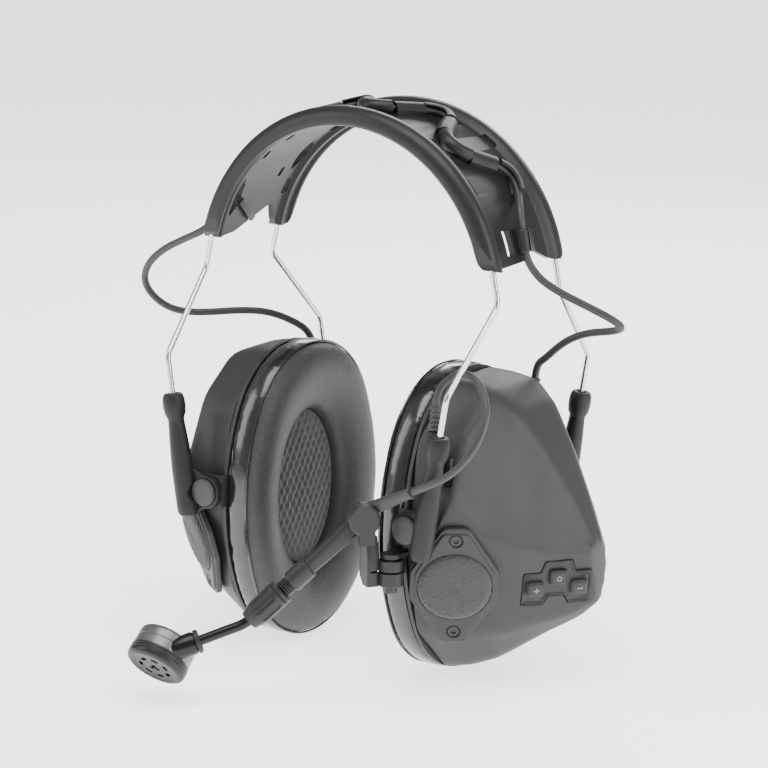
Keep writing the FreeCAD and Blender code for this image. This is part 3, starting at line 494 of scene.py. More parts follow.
# %% A skin over sections, and a slab over an outline
def skinned(loops, cap_first=True, cap_last=True, cyclic=False):
    """Extrude a ring from section to section, and put each section's points in their places."""
    clear_selection()
    bpy.ops.mesh.primitive_circle_add(vertices=len(loops[0]), radius=1.0)
    piece = bpy.context.object
    bpy.ops.object.mode_set(mode="EDIT")
    mesh = bmesh.from_edit_mesh(piece.data)
    mesh.verts.ensure_lookup_table()
    for vertex, point in zip(mesh.verts, loops[0]):
        vertex.co = point
    bmesh.update_edit_mesh(piece.data)
    if cap_first:
        bpy.ops.mesh.edge_face_add()
        bpy.ops.mesh.duplicate()
        bpy.ops.mesh.delete(type="ONLY_FACE")
        mesh = bmesh.from_edit_mesh(piece.data)
        mesh.verts.ensure_lookup_table()
        for vertex in list(mesh.verts)[len(loops[0]):]:
            vertex.select = True
        mesh.select_flush(True)
        bmesh.update_edit_mesh(piece.data)
    for before, after in zip(loops, loops[1:] + (loops[:1] if cyclic else [])):
        bpy.ops.mesh.extrude_edges_move()
        mesh = bmesh.from_edit_mesh(piece.data)
        moved = {tuple(round(c, 3) for c in p): q for p, q in zip(before, after)}
        for vertex in mesh.verts:
            if vertex.select:
                vertex.co = moved[tuple(round(c, 3) for c in vertex.co)]
        bmesh.update_edit_mesh(piece.data)
    if cap_last and not cyclic:
        bpy.ops.mesh.edge_face_add()
    bpy.ops.mesh.select_all(action="SELECT")
    bpy.ops.mesh.remove_doubles(threshold=0.0005)
    bpy.ops.mesh.normals_make_consistent(inside=False)
    clear_selection()
    return piece


def slab(outline, low, high, place=None):
    """A plate over an outline in local X and Y, between two heights."""
    piece = skinned([[(x, y, low) for x, y in outline], [(x, y, high) for x, y in outline]])
    return settle(piece, place) if place is not None else piece


def soft_corners(outline, radius, steps=5):
    """The outline with each corner rounded."""
    result = []
    count = len(outline)
    for i, corner in enumerate(outline):
        corner = Vector(corner)
        before = Vector(outline[i - 1]) - corner
        after = Vector(outline[(i + 1) % count]) - corner
        half = before.angle(after) / 2
        reach = min(radius / math.tan(half), 0.48 * before.length, 0.48 * after.length)
        start = corner + before.normalized() * reach
        end = corner + after.normalized() * reach
        for k in range(steps + 1):
            t = k / steps
            point = start.lerp(corner, t).lerp(corner.lerp(end, t), t)
            result.append((point.x, point.y))
    return result


def block(width, depth, low, high, radius, place=None):
    """A rounded rectangular slab."""
    w, d = width / 2, depth / 2
    return slab(soft_corners([(-w, -d), (w, -d), (w, d), (-w, d)], radius), low, high, place)


def rod(radius, low, high, place=None, steps=32):
    """A plain pin, used as a blank or as a cutting tool."""
    return turned([(0, low), (radius, low), (radius, high), (0, high)], steps, place)


print("helpers ready")

# %% [markdown]
# ## The two shells
# Each cup is a deep injection-moulded shell with soft facets. A ridge runs down from the front shoulder to the
# nose, and under it the front face is hollowed to hold the windscreen. A ring of ten points is extruded
# through seven sections from the rim to the nose. Creases keep the ridge crisp where a subdivision surface
# would wash it out, and the seats for the windscreen, the keys, the jack and the cable are carved at the end.

# %% Sections of the shell
STATIONS = {
    38.1: [(-14, 50.5), (14, 50.5), (33, 32), (38.3, 0), (32, -33), (13, -51), (-13, -51), (-32, -33),
           (-38.3, -4), (-33, 32)],
    46.0: [(-12, 50), (15, 50), (33.5, 31), (38.3, 1), (32, -31), (14, -49), (-11, -49.5), (-28.5, -33),
           (-38.3, -4), (-33, 31)],
    54.0: [(-12, 47.5), (16, 48.5), (33, 29), (37.5, 1), (31, -28), (14, -45.5), (-8, -46.5), (-22.9, -33),
           (-38.2, 14), (-28, 36)],
    62.0: [(-8, 41), (14, 42.5), (27.5, 23), (32.5, 0), (27, -25), (13, -40), (-5, -41), (-17, -33),
           (-28.5, 2), (-20, 22)],
    70.0: [(-3, 28), (13, 29), (22.5, 14), (27, -4), (23, -21), (12.5, -34.5), (0, -35.5), (-9.7, -30),
           (-18.8, -2.5), (-12, 9)],
    78.0: [(3, 11.5), (12, 12), (17.5, 4), (20.5, -8), (18, -20), (12, -30), (5, -30.5), (-0.5, -28),
           (-8.6, -4.5), (-4, 1)],
    85.0: [(6, -3), (10, -3), (12.5, -6), (13.5, -12), (12.5, -18), (10.5, -23), (8.5, -24), (7, -23),
           (2.0, -6), (3.2, -4)],
}
RIDGE_POINT = 8            # which of the ten points runs down the ridge
FACE_AZIMUTH = 35.0
PANEL_AZIMUTH = 50.0
SCREEN_CENTRE = Vector((52.4, -30.4, -14.4))
PANEL_CENTRE = Vector((76.6, -5.3, -15.4))


def face_place(centre, azimuth, droop, lift=0.0):
    """Local X runs outwards along the face, local Y up it and local Z out of it."""
    a, p = math.radians(azimuth), math.radians(droop)
    normal = Vector((math.sin(a) * math.cos(p), -math.cos(a) * math.cos(p), -math.sin(p)))
    return axes(centre + normal * lift, (math.cos(a), math.sin(a), 0), normal)


SCREEN_PLACE = face_place(SCREEN_CENTRE, FACE_AZIMUTH, 15)
PANEL_PLACE = face_place(PANEL_CENTRE, PANEL_AZIMUTH, 12, -0.7)


# %% Outlines of the windscreen and of the key panel
def screen_outline(grow=0.0):
    """A rhombus with its corners cut off."""
    half_h, half_w, tip, side = 21.5 + grow, 14.75 + grow, 4.2, 5.0
    return [(-tip, half_h), (-half_w, side), (-half_w, -side), (-tip, -half_h), (tip, -half_h),
            (half_w, -side), (half_w, side), (tip, half_h)]


def panel_outline(grow=0.0):
    """The stepped outline of the key panel, raised in the middle."""
    low, side, shoulder, crown = -7.6 - grow, 12.0 + grow, 4.0 + grow, 8.2 + grow
    step, notch, waist = 4.6 + grow, 4.6 - grow, -4.6 - grow
    return [(-side, low), (-notch, low), (-notch + 1.6, waist), (notch - 1.6, waist), (notch, low), (side, low),
            (side, shoulder), (step + 1.4, shoulder), (step, crown), (-step, crown), (-step - 1.4, shoulder),
            (-side, shoulder)]


# %% The shell's skin
def crease_edges(piece, amount, chosen):
    """Crease the edges for which a test on their two ends is true."""
    mesh = bmesh.new()
    mesh.from_mesh(piece.data)
    layer = mesh.edges.layers.float.get("crease_edge") or mesh.edges.layers.float.new("crease_edge")
    count = 0
    for edge in mesh.edges:
        if chosen(edge.verts[0].co, edge.verts[1].co):
            edge[layer] = max(edge[layer], amount)
            count += 1
    mesh.to_mesh(piece.data)
    mesh.free()
    return count


def make_shell():
    """The wearer's left shell, before its recesses are cut."""
    shell = skinned([[(x, y, z) for y, z in points] for x, points in STATIONS.items()])
    ridge = [Vector((x, *points[RIDGE_POINT])) for x, points in STATIONS.items()]

    def on_ridge(a, b):
        return min((a - p).length for p in ridge) < 0.01 and min((b - p).length for p in ridge) < 0.01

    crease_edges(shell, 0.42, lambda a, b: True)
    creased = crease_edges(shell, 0.85, lambda a, b: on_ridge(a, b) and max(a.x, b.x) > 50)
    crease_edges(shell, 0.95, lambda a, b: max(a.x, b.x) < 38.2)
    print("ridge edges", creased)
    return subdivided(shell, 4)


shell_blank = make_shell()
print("shell blank", len(shell_blank.data.polygons), "faces")


# %% Seats and recesses
def shell_tools():
    """The windscreen's seat and the cable's boot, which both shells have."""
    seat = slab(soft_corners(screen_outline(0.35), 2.0), 0.0, 30.0, SCREEN_PLACE)
    boot = rod(2.3, 0.0, 20.0, along(BOOT_BASE, BOOT_WAY))
    return seat, boot


def left_tools():
    """The key panel's seat and the recess for the jack."""
    keys = slab(soft_corners(panel_outline(0.3), 1.0), -0.1, 30.0, PANEL_PLACE)
    jack = block(10.0, 14.0, 19.2, 46.2, 1.2, Matrix.Translation((48.4, -39.8, 0)))
    return keys, jack


right_shell = carved(twin(shell_blank, Matrix()), *shell_tools())
left_shell = carved(shell_blank, *shell_tools(), *left_tools())
settle(right_shell, MIRROR_X)
for piece in (left_shell, right_shell):
    rounded(piece, 0.35, 2, 50)
finish_piece(left_shell, "left_shell", SHELL, "left_cup", "shell", "left_housing", smooth=26)
finish_piece(right_shell, "right_shell", SHELL, "right_cup", "shell", "right_housing", smooth=26)
print("shells", len(left_shell.data.polygons), len(right_shell.data.polygons), "faces")

# %% [markdown]
# ## The windscreens
# Behind each foam disc is a microphone that listens to the surroundings. The foam sits in a rhombic frame,
# which two socket screws hold in the front face. The frame is a slab with rounded corners, a stepped lip and
# carved screw wells. The foam is a turned dome, roughened by a displacement, because open-cell foam is bumpy
# at its outline too.

# %% The frame
def make_screen_frame():
    """The rhombic frame, with its lip, its foam hole and its screw wells."""
    frame_piece = slab(soft_corners(screen_outline(), 3.2, 7), 0.0, 1.9)
    lip = slab(soft_corners(screen_outline(-1.7), 2.4, 7), 1.5, 2.6)
    frame_piece = welded(frame_piece, lip)
    rounded(frame_piece, 0.4, 3, 40)
    wells = [rod(12.55, -1.0, 6.0, steps=64)]
    for v in (17.3, -17.3):
        wells.append(turned([(0, 1.1), (2.2, 1.1), (2.2, 2.2), (2.9, 2.9), (2.9, 4.0), (0, 4.0)], 40,
                            Matrix.Translation((0, v, 0))))
    return carved(frame_piece, *wells)


def make_screen_screw():
    """A socket screw's head with its six-sided socket."""
    head = turned([(0, 1.15), (2.05, 1.15), (2.05, 2.05), (1.85, 2.3), (0, 2.3)], 40)
    socket = rod(1.05, 1.6, 4.0, steps=6)
    return rounded(carved(head, socket), 0.08, 2, 40)


# %% The foam
def make_foam():
    """A domed disc with the open cells of foam at its surface."""
    profile = [(12.35, 0.2), (12.35, 2.2), (12.2, 2.9), (11.7, 3.5), (10.8, 3.95), (9.4, 4.2), (7.0, 4.33),
               (4.5, 4.4), (2.2, 4.43), (0, 4.44)]
    foam = turned([(0, 0.2)] + profile, 96)
    apply_modifier(foam, "BEVEL", width=0.4, segments=3, limit_method="ANGLE", angle_limit=math.radians(30))
    subdivided(foam, 2)
    cells = bpy.data.textures.new("foam_cells", "CLOUDS")
    cells.noise_scale = 0.85
    cells.noise_depth = 1
    return apply_modifier(foam, "DISPLACE", texture=cells, strength=0.42, mid_level=0.5)


def foam_material():
    """Charcoal foam: a dark open-cell relief, and painted shade that darkens the pits of that relief."""
    material, tree, shader, place = new_material("open_cell_foam", (0.034, 0.034, 0.035), 0.85)
    cell = noise_node(tree, place, 1500.0, 4.0, 0.7)
    # Painted shade: the colour follows the relief's own noise, so the low pits of the foam are darker.
    tree.links.new(mix_colors(tree, cell, (0.014, 0.014, 0.015), (0.060, 0.060, 0.062)),
                   shader.inputs["Base Color"])
    add_bump(tree, shader, cell, 0.00022)
    shader.inputs["Sheen Weight"].default_value = 0.15
    return material


FOAM = foam_material()
frame_blank = settle(make_screen_frame(), SCREEN_PLACE)
foam_blank = settle(make_foam(), SCREEN_PLACE)
screw_blank = make_screen_screw()
upper = twin(screw_blank, SCREEN_PLACE @ Matrix.Translation((0, 17.3, 0)))
lower = settle(screw_blank, SCREEN_PLACE @ Matrix.Translation((0, -17.3, 0)) @ Matrix.Rotation(0.4, 4, "Z"))
screws_blank = joined(upper, lower)
for side, place in (("right", MIRROR_X), ("left", Matrix())):
    body = side + "_cup"
    made = [twin(piece, place) if side == "right" else piece for piece in (frame_blank, foam_blank, screws_blank)]
    finish_piece(made[0], side + "_screen_frame", SHELL, body, "shell", side + "_windscreen_frame")
    finish_piece(made[1], side + "_screen_foam", FOAM, body, "foam", side + "_windscreen_foam")
    finish_piece(made[2], side + "_screen_screws", SCREW, body, "screw", side + "_windscreen_screws")
print("foam", len(foam_blank.data.polygons), "faces")

# %% [markdown]
# ## The keys
# Three rubber keys stand in a stepped rubber panel. The panel is a slab whose face is inset and pushed down,
# so that a rim is left round it, and each key is a block whose top is inset and raised. The symbols are
# plain: a plus, a minus and a dot.

# %% The panel
BUTTON_SPOTS = {"plus": (-7.6, -1.6), "power": (0.0, 2.4), "minus": (7.6, -1.6)}


def push_face(piece, inset, depth, chosen):
    """Inset the chosen faces and move them along their normals."""
    clear_selection()
    bpy.context.view_layer.objects.active = piece
    piece.select_set(True)
    bpy.ops.object.mode_set(mode="EDIT")
    bpy.ops.mesh.select_all(action="DESELECT")
    mesh = bmesh.from_edit_mesh(piece.data)
    for face in mesh.faces:
        face.select = chosen(face)
    bmesh.update_edit_mesh(piece.data)
    bpy.ops.mesh.inset(thickness=inset, depth=0.0)
    bpy.ops.transform.translate(value=(0, 0, depth))
    clear_selection()
    return piece


def make_panel():
    """The rubber panel: a rim round a sunken face, with a well for each key."""
    panel = slab(soft_corners(panel_outline(), 1.1, 4), 0.0, 1.9)
    push_face(panel, 0.95, -0.75, lambda face: face.normal.z > 0.9)
    rounded(panel, 0.22, 2, 40)
    wells = [block(6.3, 5.7, 0.6, 5.0, 0.9, Matrix.Translation((u, v, 0))) for u, v in BUTTON_SPOTS.values()]
    return carved(panel, *wells)


def make_key():
    """One key: a block with a smaller raised top."""
    key = block(5.6, 5.0, 0.95, 2.45, 0.8)
    push_face(key, 0.75, 0.75, lambda face: face.normal.z > 0.9)
    return rounded(key, 0.28, 3, 25)


def make_symbol(kind):
    """A raised mark on a key."""
    across = block(2.0, 0.5, 3.1, 3.4, 0.15)
    if kind == "minus":
        return across
    if kind == "plus":
        return joined(across, block(0.5, 2.0, 3.1, 3.4, 0.15))
    bpy.data.objects.remove(across)
    return turned([(0.55, 3.1), (0.95, 3.1), (0.95, 3.4), (0.55, 3.4), (0.55, 3.1)], 24)


MARK = rubber("key_mark_grey", (0.16, 0.16, 0.165), 0.5)
panel = finish_piece(settle(make_panel(), PANEL_PLACE), "key_panel", KEY, "left_cup", "key_rubber", "button_panel")
key_blank = make_key()
for kind, (u, v) in BUTTON_SPOTS.items():
    place = PANEL_PLACE @ Matrix.Translation((u, v, 0))
    key = finish_piece(twin(key_blank, place), kind + "_key", KEY, kind + "_key", "key_rubber", "button_" + kind)
    finish_piece(settle(make_symbol(kind), place), kind + "_symbol", MARK, kind + "_key", "key_rubber")
bpy.data.objects.remove(key_blank)
print("keys on", list(BUTTON_SPOTS))

# %% [markdown]
# ## The ear cushions
# A cushion is a ring of soft foam in thin vinyl. Its side is glossy, and its face, which seals against the
# head, is satin and finely grained. The ring is drawn over an oval of four tangent arcs, filled by cloth
# simulation under pressure with its back held on the plate, so that it plumps as a real one does, and its
# weld seam is laid on afterwards.

# %% The oval and its sections
OVAL_END, OVAL_SIDE, OVAL_END_RADIUS, OVAL_SIDE_RADIUS = 18.0, 38.5, 35.0, 77.5
OVAL_STEPS = 144


def oval_point(angle, grow=0.0):
    """The point of the four-arc oval in a direction from its middle, let out by a margin."""
    way = Vector((math.cos(angle), math.sin(angle)))
    side = 1.0 if way.x >= 0 else -1.0
    end = 1.0 if way.y >= 0 else -1.0
    span = math.hypot(OVAL_END, OVAL_SIDE)
    joint_angle = math.atan2(OVAL_END + OVAL_END_RADIUS * OVAL_END / span, OVAL_END_RADIUS * OVAL_SIDE / span)
    if abs(math.atan2(way.y, abs(way.x))) < joint_angle:
        centre, radius = Vector((-side * OVAL_SIDE, 0)), OVAL_SIDE_RADIUS + grow
    else:
        centre, radius = Vector((0, end * OVAL_END)), OVAL_END_RADIUS + grow
    along_way = way.dot(centre)
    return way * (along_way + math.sqrt(along_way ** 2 - centre.length_squared + radius ** 2))


def opening_point(angle, half_width=18.5, half_height=28.0):
    """The point of the opening's ellipse in the same direction."""
    reach = 1.0 / math.hypot(math.cos(angle) / half_width, math.sin(angle) / half_height)
    return Vector((math.cos(angle), math.sin(angle))) * reach


def ring_loop(t, x, grow=0.0):
    """A loop part of the way from the oval to the opening, at one height."""
    loop = []
    for k in range(OVAL_STEPS):
        angle = math.tau * k / OVAL_STEPS
        point = oval_point(angle, grow).lerp(opening_point(angle), t)
        loop.append(Vector((x, point.x, point.y)))
    return loop


# %% The cushion's blank
CUSHION_SECTION = [(0.0, 36.5, -0.4), (0.0, 34.2, -0.1), (0.0, 31.8, 0.0), (0.0, 29.6, -0.1), (0.0, 28.3, -0.7),
                   (0.035, 27.2, -0.6), (0.08, 25.7, 0.0), (0.17, 24.7, 0.0), (0.30, 24.25, 0.0),
                   (0.45, 24.3, 0.0), (0.60, 24.7, 0.0), (0.75, 25.5, 0.0), (0.88, 26.9, 0.0), (0.96, 28.6, 0.0),
                   (1.0, 30.8, 0.0), (1.0, 33.5, 0.0), (1.0, 36.5, 0.0)]


def make_cushion_blank():
    """The ring before it is filled."""
    loops = [ring_loop(t, x, grow) for t, x, grow in CUSHION_SECTION]
    return skinned(loops, cap_first=False, cap_last=False, cyclic=True)


# %% Filling the cushion
CLOTH_SCALE = 0.01         # the cloth works on the ring as if it were about a metre tall
MOST_SWELL = 0.9


def filled(cushion):
    """Plump the ring with a pressurised cloth whose back is pinned, and keep its movement small."""
    clear_selection()
    apply_modifier(cushion, "REMESH", mode="VOXEL", voxel_size=1.5)
    settle(cushion, Matrix.Scale(CLOTH_SCALE, 4))
    before = [v.co.copy() for v in cushion.data.vertices]
    back = cushion.vertex_groups.new(name="back")
    back.add([v.index for v in cushion.data.vertices if v.co.x > 35.3 * CLOTH_SCALE], 1.0, "REPLACE")
    cloth = cushion.modifiers.new("cloth", "CLOTH")
    cloth.settings.quality = 4
    cloth.settings.mass = 0.25
    cloth.settings.tension_stiffness = 22
    cloth.settings.compression_stiffness = 22
    cloth.settings.bending_stiffness = 2.5
    cloth.settings.use_pressure = True
    cloth.settings.uniform_pressure_force = 4.0
    cloth.settings.vertex_group_mass = "back"
    cloth.settings.effector_weights.gravity = 0.0
    cloth.collision_settings.use_collision = False
    for step in range(1, 21):
        bpy.context.scene.frame_set(step)
    shape = cushion.evaluated_get(bpy.context.evaluated_depsgraph_get())
    after = [v.co.copy() for v in shape.data.vertices]
    cushion.modifiers.clear()
    cushion.vertex_groups.clear()
    most = 0.0
    for vertex, old, new in zip(cushion.data.vertices, before, after):
        move = new - old
        most = max(most, move.length)
        vertex.co = old + move * min(1.0, MOST_SWELL * CLOTH_SCALE / max(move.length, 1e-9))
    bpy.context.scene.frame_set(1)
    print("cushion swelled by", round(most / CLOTH_SCALE, 2), "mm before the cap")
    return settle(cushion, Matrix.Scale(1 / CLOTH_SCALE, 4))


cushion_blank = make_cushion_blank()
filled(cushion_blank)
apply_modifier(cushion_blank, "SMOOTH", factor=0.5, iterations=4)
subdivided(cushion_blank, 1)
box_corners = [v.co for v in cushion_blank.data.vertices]
print("cushion", len(cushion_blank.data.polygons), "faces, x", round(min(c.x for c in box_corners), 2),
      round(max(c.x for c in box_corners), 2))


# %% Vinyl, glossy on the side and satin on the face
def vinyl(name, color, roughness, coat, grain):
    """Thin vinyl: a leather-like grain of small cells over soft, slow undulations."""
    material, tree, shader, place = new_material(name, color, roughness)
    cells = tree.nodes.new("ShaderNodeTexVoronoi")
    cells.inputs["Scale"].default_value = 1500.0
    tree.links.new(place, cells.inputs["Vector"])
    soft = noise_node(tree, place, 140.0, 3.0)
    add = tree.nodes.new("ShaderNodeMath")
    add.operation = "MULTIPLY_ADD"
    add.inputs[1].default_value = grain
    tree.links.new(cells.outputs["Distance"], add.inputs[0])
    tree.links.new(soft, add.inputs[2])
    add_bump(tree, shader, add.outputs["Value"], 0.00012)
    tint = noise_node(tree, place, 55.0, 4.0)
    tree.links.new(mix_colors(tree, tint, tuple(c * 0.8 for c in color), tuple(c * 1.3 for c in color)),
                   shader.inputs["Base Color"])
    tree.links.new(remap(tree, tint, roughness - 0.05, roughness + 0.08), shader.inputs["Roughness"])
    shader.inputs["Coat Weight"].default_value = coat
    shader.inputs["Coat Roughness"].default_value = 0.12
    return material


VINYL_SIDE = vinyl("vinyl_gloss", (0.012, 0.012, 0.013), 0.20, 0.5, 0.15)
VINYL_FACE = vinyl("vinyl_satin", (0.026, 0.026, 0.028), 0.50, 0.0, 0.9)


def outside_of(point):
    """How far a point lies outside the middle line of the ring's face, from -1 inside to 1 outside."""
    angle = math.atan2(point.z, point.y)
    reach = math.hypot(point.y, point.z)
    inner, outer = opening_point(angle).length, oval_point(angle).length
    return (reach - inner) / (outer - inner) * 2 - 1


def dress_cushion(cushion):
    """The side panel is glossy and the face is satin."""
    cushion.data.materials.append(VINYL_FACE)
    cushion.data.materials.append(VINYL_SIDE)
    for face in cushion.data.polygons:
        is_side = face.center.x > 27.9 and outside_of(face.center) > 0.5
        face.material_index = 1 if is_side else 0
    return cushion


def make_weld():
    """The weld seam between side and face: a thin bead round the oval."""
    loops = []
    for k in range(8):
        turn = math.tau * k / 8
        loops.append(ring_loop(0.0, 27.95 + 0.42 * math.cos(turn), -0.55 + 0.42 * math.sin(turn)))
    return skinned(loops, cap_first=False, cap_last=False, cyclic=True)


dress_cushion(cushion_blank)
weld_blank = make_weld()
for side, place in (("right", MIRROR_X), ("left", Matrix())):
    cushion = twin(cushion_blank, place) if side == "right" else cushion_blank
    weld = twin(weld_blank, place) if side == "right" else weld_blank
    finish_piece(cushion, side + "_ear_cushion", None, side + "_cup", "cushion", side + "_cushion", smooth=60)
    finish_piece(weld, side + "_cushion_weld", VINYL_SIDE, side + "_cup", "cushion")
print("cushions dressed")

# %% [markdown]
# ## The cloth inside the ear opening
# At the bottom of each opening a quilted foam pad covers the speaker. It is drawn over many close ovals and
# raised into a lattice of small diamonds.

# %% The quilted pad
def make_liner():
    """A shallow pad of small diamonds."""
    loops = [[Vector((36.3, p.x, p.y)) for p in pad_ring(1.0)]]
    loops += [[quilt_point(p, t) for p in pad_ring(t)] for t in [1.0 - 0.0225 * k for k in range(44)]]
    return skinned(loops)


def pad_ring(t):
    return [opening_point(math.tau * k / 160, 18.1, 27.6) * t for k in range(160)]


def quilt_point(point, t):
    """Lift a point by the lattice, which fades at the edge."""
    pitch = 3.1
    u = (point.x * 0.9 + point.y * 0.55) / pitch
    v = (point.x * 0.9 - point.y * 0.55) / pitch
    lift = abs(math.sin(math.pi * u)) * abs(math.sin(math.pi * v))
    edge = min(1.0, (1.0 - t) / 0.06)
    return Vector((32.4 - 0.75 * lift * edge - 0.5 * (1 - t * t), point.x, point.y))


def cloth_material():
    """Thin knitted cloth, with painted shade that darkens the hollows of its thread relief."""
    material, tree, shader, place = new_material("quilted_cloth", (0.032, 0.032, 0.033), 0.8)
    thread = noise_node(tree, place, 2400.0, 2.0)
    # Painted shade: the colour follows the thread relief's noise, so its hollows are darker.
    tree.links.new(mix_colors(tree, thread, (0.018, 0.018, 0.019), (0.055, 0.055, 0.057)),
                   shader.inputs["Base Color"])
    add_bump(tree, shader, thread, 0.00008)
    shader.inputs["Sheen Weight"].default_value = 0.3
    return material


LINER = cloth_material()
liner_blank = make_liner()
for side, place in (("right", MIRROR_X), ("left", Matrix())):
    liner = twin(liner_blank, place) if side == "right" else liner_blank
    finish_piece(liner, side + "_quilted_pad", LINER, side + "_cup", "liner", side + "_foam_liner", smooth=50)
print("quilted pads", len(liner_blank.data.polygons), "faces")

# %% [markdown]
# ## The headband
# The band is one moulding: two thick rims, which each hide a spring wire, and a thin web between them. One
# section through both rims and the web is spun round the middle of the head. The slots beside the rims, the
# window by the clip and the curved ends are carved out of it, as they are holes in the real mould.

# %% Spinning a section round the arch
RIM_SECTION = [(14.3, 59.4), (15.2, 59.9), (16.6, 61.2), (18.4, 61.9), (20.4, 61.8), (22.2, 60.9), (23.2, 59.4),
               (23.5, 57.8), (23.3, 56.4), (22.5, 55.5), (21.2, 55.2), (20.4, 55.5), (19.8, 56.2), (18.9, 56.3),
               (18.0, 55.9), (16.9, 56.0), (16.2, 56.6), (15.6, 57.4)]


def arch_place(angle, y, radius):
    """Local Z points out of the arch and local X runs along it."""
    a = math.radians(angle)
    return axes(on_arch(angle, y, radius), (math.cos(a), 0, -math.sin(a)), (math.sin(a), 0, math.cos(a)))


def spun_over_head(section, half_angle, steps):
    """A section in Y and radius, spun from one end of the arch to the other."""
    clear_selection()
    bpy.ops.mesh.primitive_circle_add(vertices=len(section), radius=1.0, fill_type="NGON")
    piece = bpy.context.object
    for vertex, (y, radius) in zip(piece.data.vertices, section):
        vertex.co = on_arch(half_angle, y, radius)
    bpy.ops.object.mode_set(mode="EDIT")
    bpy.ops.mesh.select_all(action="SELECT")
    bpy.ops.mesh.spin(steps=steps, angle=math.radians(2 * half_angle), center=(0, 0, ARCH_HEIGHT), axis=(0, 1, 0))
    bpy.ops.mesh.select_all(action="SELECT")
    bpy.ops.mesh.remove_doubles(threshold=0.0005)
    bpy.ops.mesh.normals_make_consistent(inside=False)
    clear_selection()
    return piece


band = spun_over_head(RIM_SECTION + [(-y, r) for y, r in reversed(RIM_SECTION)], 79.0, 96)
tops = [v.co.z for v in band.data.vertices]
print("band blank z", round(min(tops), 1), round(max(tops), 1))

# %% Slots, window and ends
LEFT_END = [(-30, 78), (-30, 104), (-23.8, 104), (-23.2, 97.0), (-21.9, 91.8), (-20.0, 89.2), (-17.6, 88.7),
            (-13.5, 89.3), (2.6, 90.2), (4.4, 94.5), (8.4, 92.0), (13.0, 90.0), (16.6, 88.7), (18.8, 88.8),
            (21.2, 90.6), (22.9, 95.0), (23.8, 104), (30, 104), (30, 78)]
RIGHT_END = [(-30, 78), (-30, 104), (-23.8, 104), (-23.0, 96.0), (-21.4, 91.0), (-19.2, 88.9), (-14.5, 88.9),
             (-9.0, 89.6), (-5.6, 91.0), (9.4, 97.9), (10.6, 97.5), (13.2, 92.0), (15.6, 89.4), (18.4, 88.5),
             (20.4, 89.4), (22.2, 93.0), (23.2, 98.5), (23.8, 106), (30, 106), (30, 78)]
LENS = [(-8.6, -0.9), (-4.6, -2.2), (0.0, -2.7), (4.6, -2.2), (8.6, -0.9), (4.6, 1.5), (0.0, 2.1), (-4.6, 1.5)]


def end_tool(outline, x_from, x_to):
    """What the moulding leaves out below one end of the band."""
    shape = [(z, -y) for y, z in reversed(outline)]
    return slab(soft_corners(shape, 0.9, 3), x_from, x_to, axes((0, 0, 0), (0, 0, 1), (1, 0, 0)))


def band_tools():
    """Every hole in the band."""
    tools = [end_tool(LEFT_END, 40, 80), end_tool(RIGHT_END, -80, -40)]
    for index, angle in enumerate(HOOK_ANGLES):
        side = 1 if index % 2 == 0 else -1
        tools.append(slab(soft_corners(LENS, 1.0, 3), 0, 20, arch_place(angle - 1, side * 13.1, 50)))
        tools.append(block(6.6, 2.7, 0, 20, 0.9, arch_place(angle, -side * 14.5, 50)))
    tools.append(block(8.6, 4.2, 0, 20, 0.6, arch_place(70.5, -7.2, 50)))
    for angle, y in ((-44, -11.5), (-34, -8.5), (-55, 6.5)):
        tools.append(block(4.2, 1.7, 0, 20, 0.7, arch_place(angle, y, 50)))
    return tools


carved(band, *band_tools())
print("band", len(band.data.polygons), "faces")


# %% The guides for the cable
def cable_line(piece):
    """The points of a cable's own smooth line, in millimetres."""
    bare = piece.copy()
    bare.data = piece.data.copy()
    bare.data.bevel_depth = 0.0
    line = bpy.data.meshes.new_from_object(bare)
    points = [v.co / MM for v in line.vertices]
    bpy.data.curves.remove(bare.data)
    bpy.data.meshes.remove(line)
    return points


def guide(points, section, outward):
    """A moulded channel along the cable: a section drawn from point to point."""
    loops = []
    for i, point in enumerate(points):
        way = (points[min(i + 1, len(points) - 1)] - points[max(i - 1, 0)]).normalized()
        radial = Vector((point.x, 0, point.z - ARCH_HEIGHT)).normalized()
        side = way.cross(radial).normalized() * outward
        up = side.cross(way).normalized() * outward
        loops.append([point + side * u + up * v for u, v in section])
    return skinned(loops)


def c_section(outer, inner, half_angle, steps=9):
    """A half-tube's section, open on the side away from the rim."""
    turns = [math.radians(half_angle) * (2 * k / steps - 1) for k in range(steps + 1)]
    section = [(outer * math.cos(t), outer * math.sin(t)) for t in turns]
    return section + [(inner * math.cos(t), inner * math.sin(t)) for t in reversed(turns)]


ROOF = [(-3.4, -1.8), (-3.4, 0.2), (-2.6, 1.2), (-1.6, 1.95), (-0.7, 2.3), (0.7, 2.3), (1.6, 1.95), (2.6, 1.2),
        (3.4, 0.2), (3.4, -1.8), (1.6, -1.8), (1.5, 0.5), (0.8, 1.4), (-0.8, 1.4), (-1.5, 0.5), (-1.6, -1.8)]
line = cable_line(band_cable)
guides = []
for index, angle in enumerate(HOOK_ANGLES):
    side = 1 if index % 2 == 0 else -1
    middle = on_arch(angle, side * HOOK_OFFSET, CABLE_RIDE)
    near = [p for p in line if (p - middle).length < 7.0]
    way = (near[-1] - near[0]).normalized()
    radial = Vector((middle.x, 0, middle.z - ARCH_HEIGHT)).normalized()
    outward = 1 if way.cross(radial).y * side > 0 else -1
    guides.append(guide(near, c_section(2.75, 1.5, 122), outward))
    if index + 1 < len(HOOK_ANGLES):
        far = on_arch((angle + HOOK_ANGLES[index + 1]) / 2, 0, CABLE_RIDE)
        guides.append(guide([p for p in line if (p - far).length < 6.3], ROOF, 1))
print("guides", len(guides))


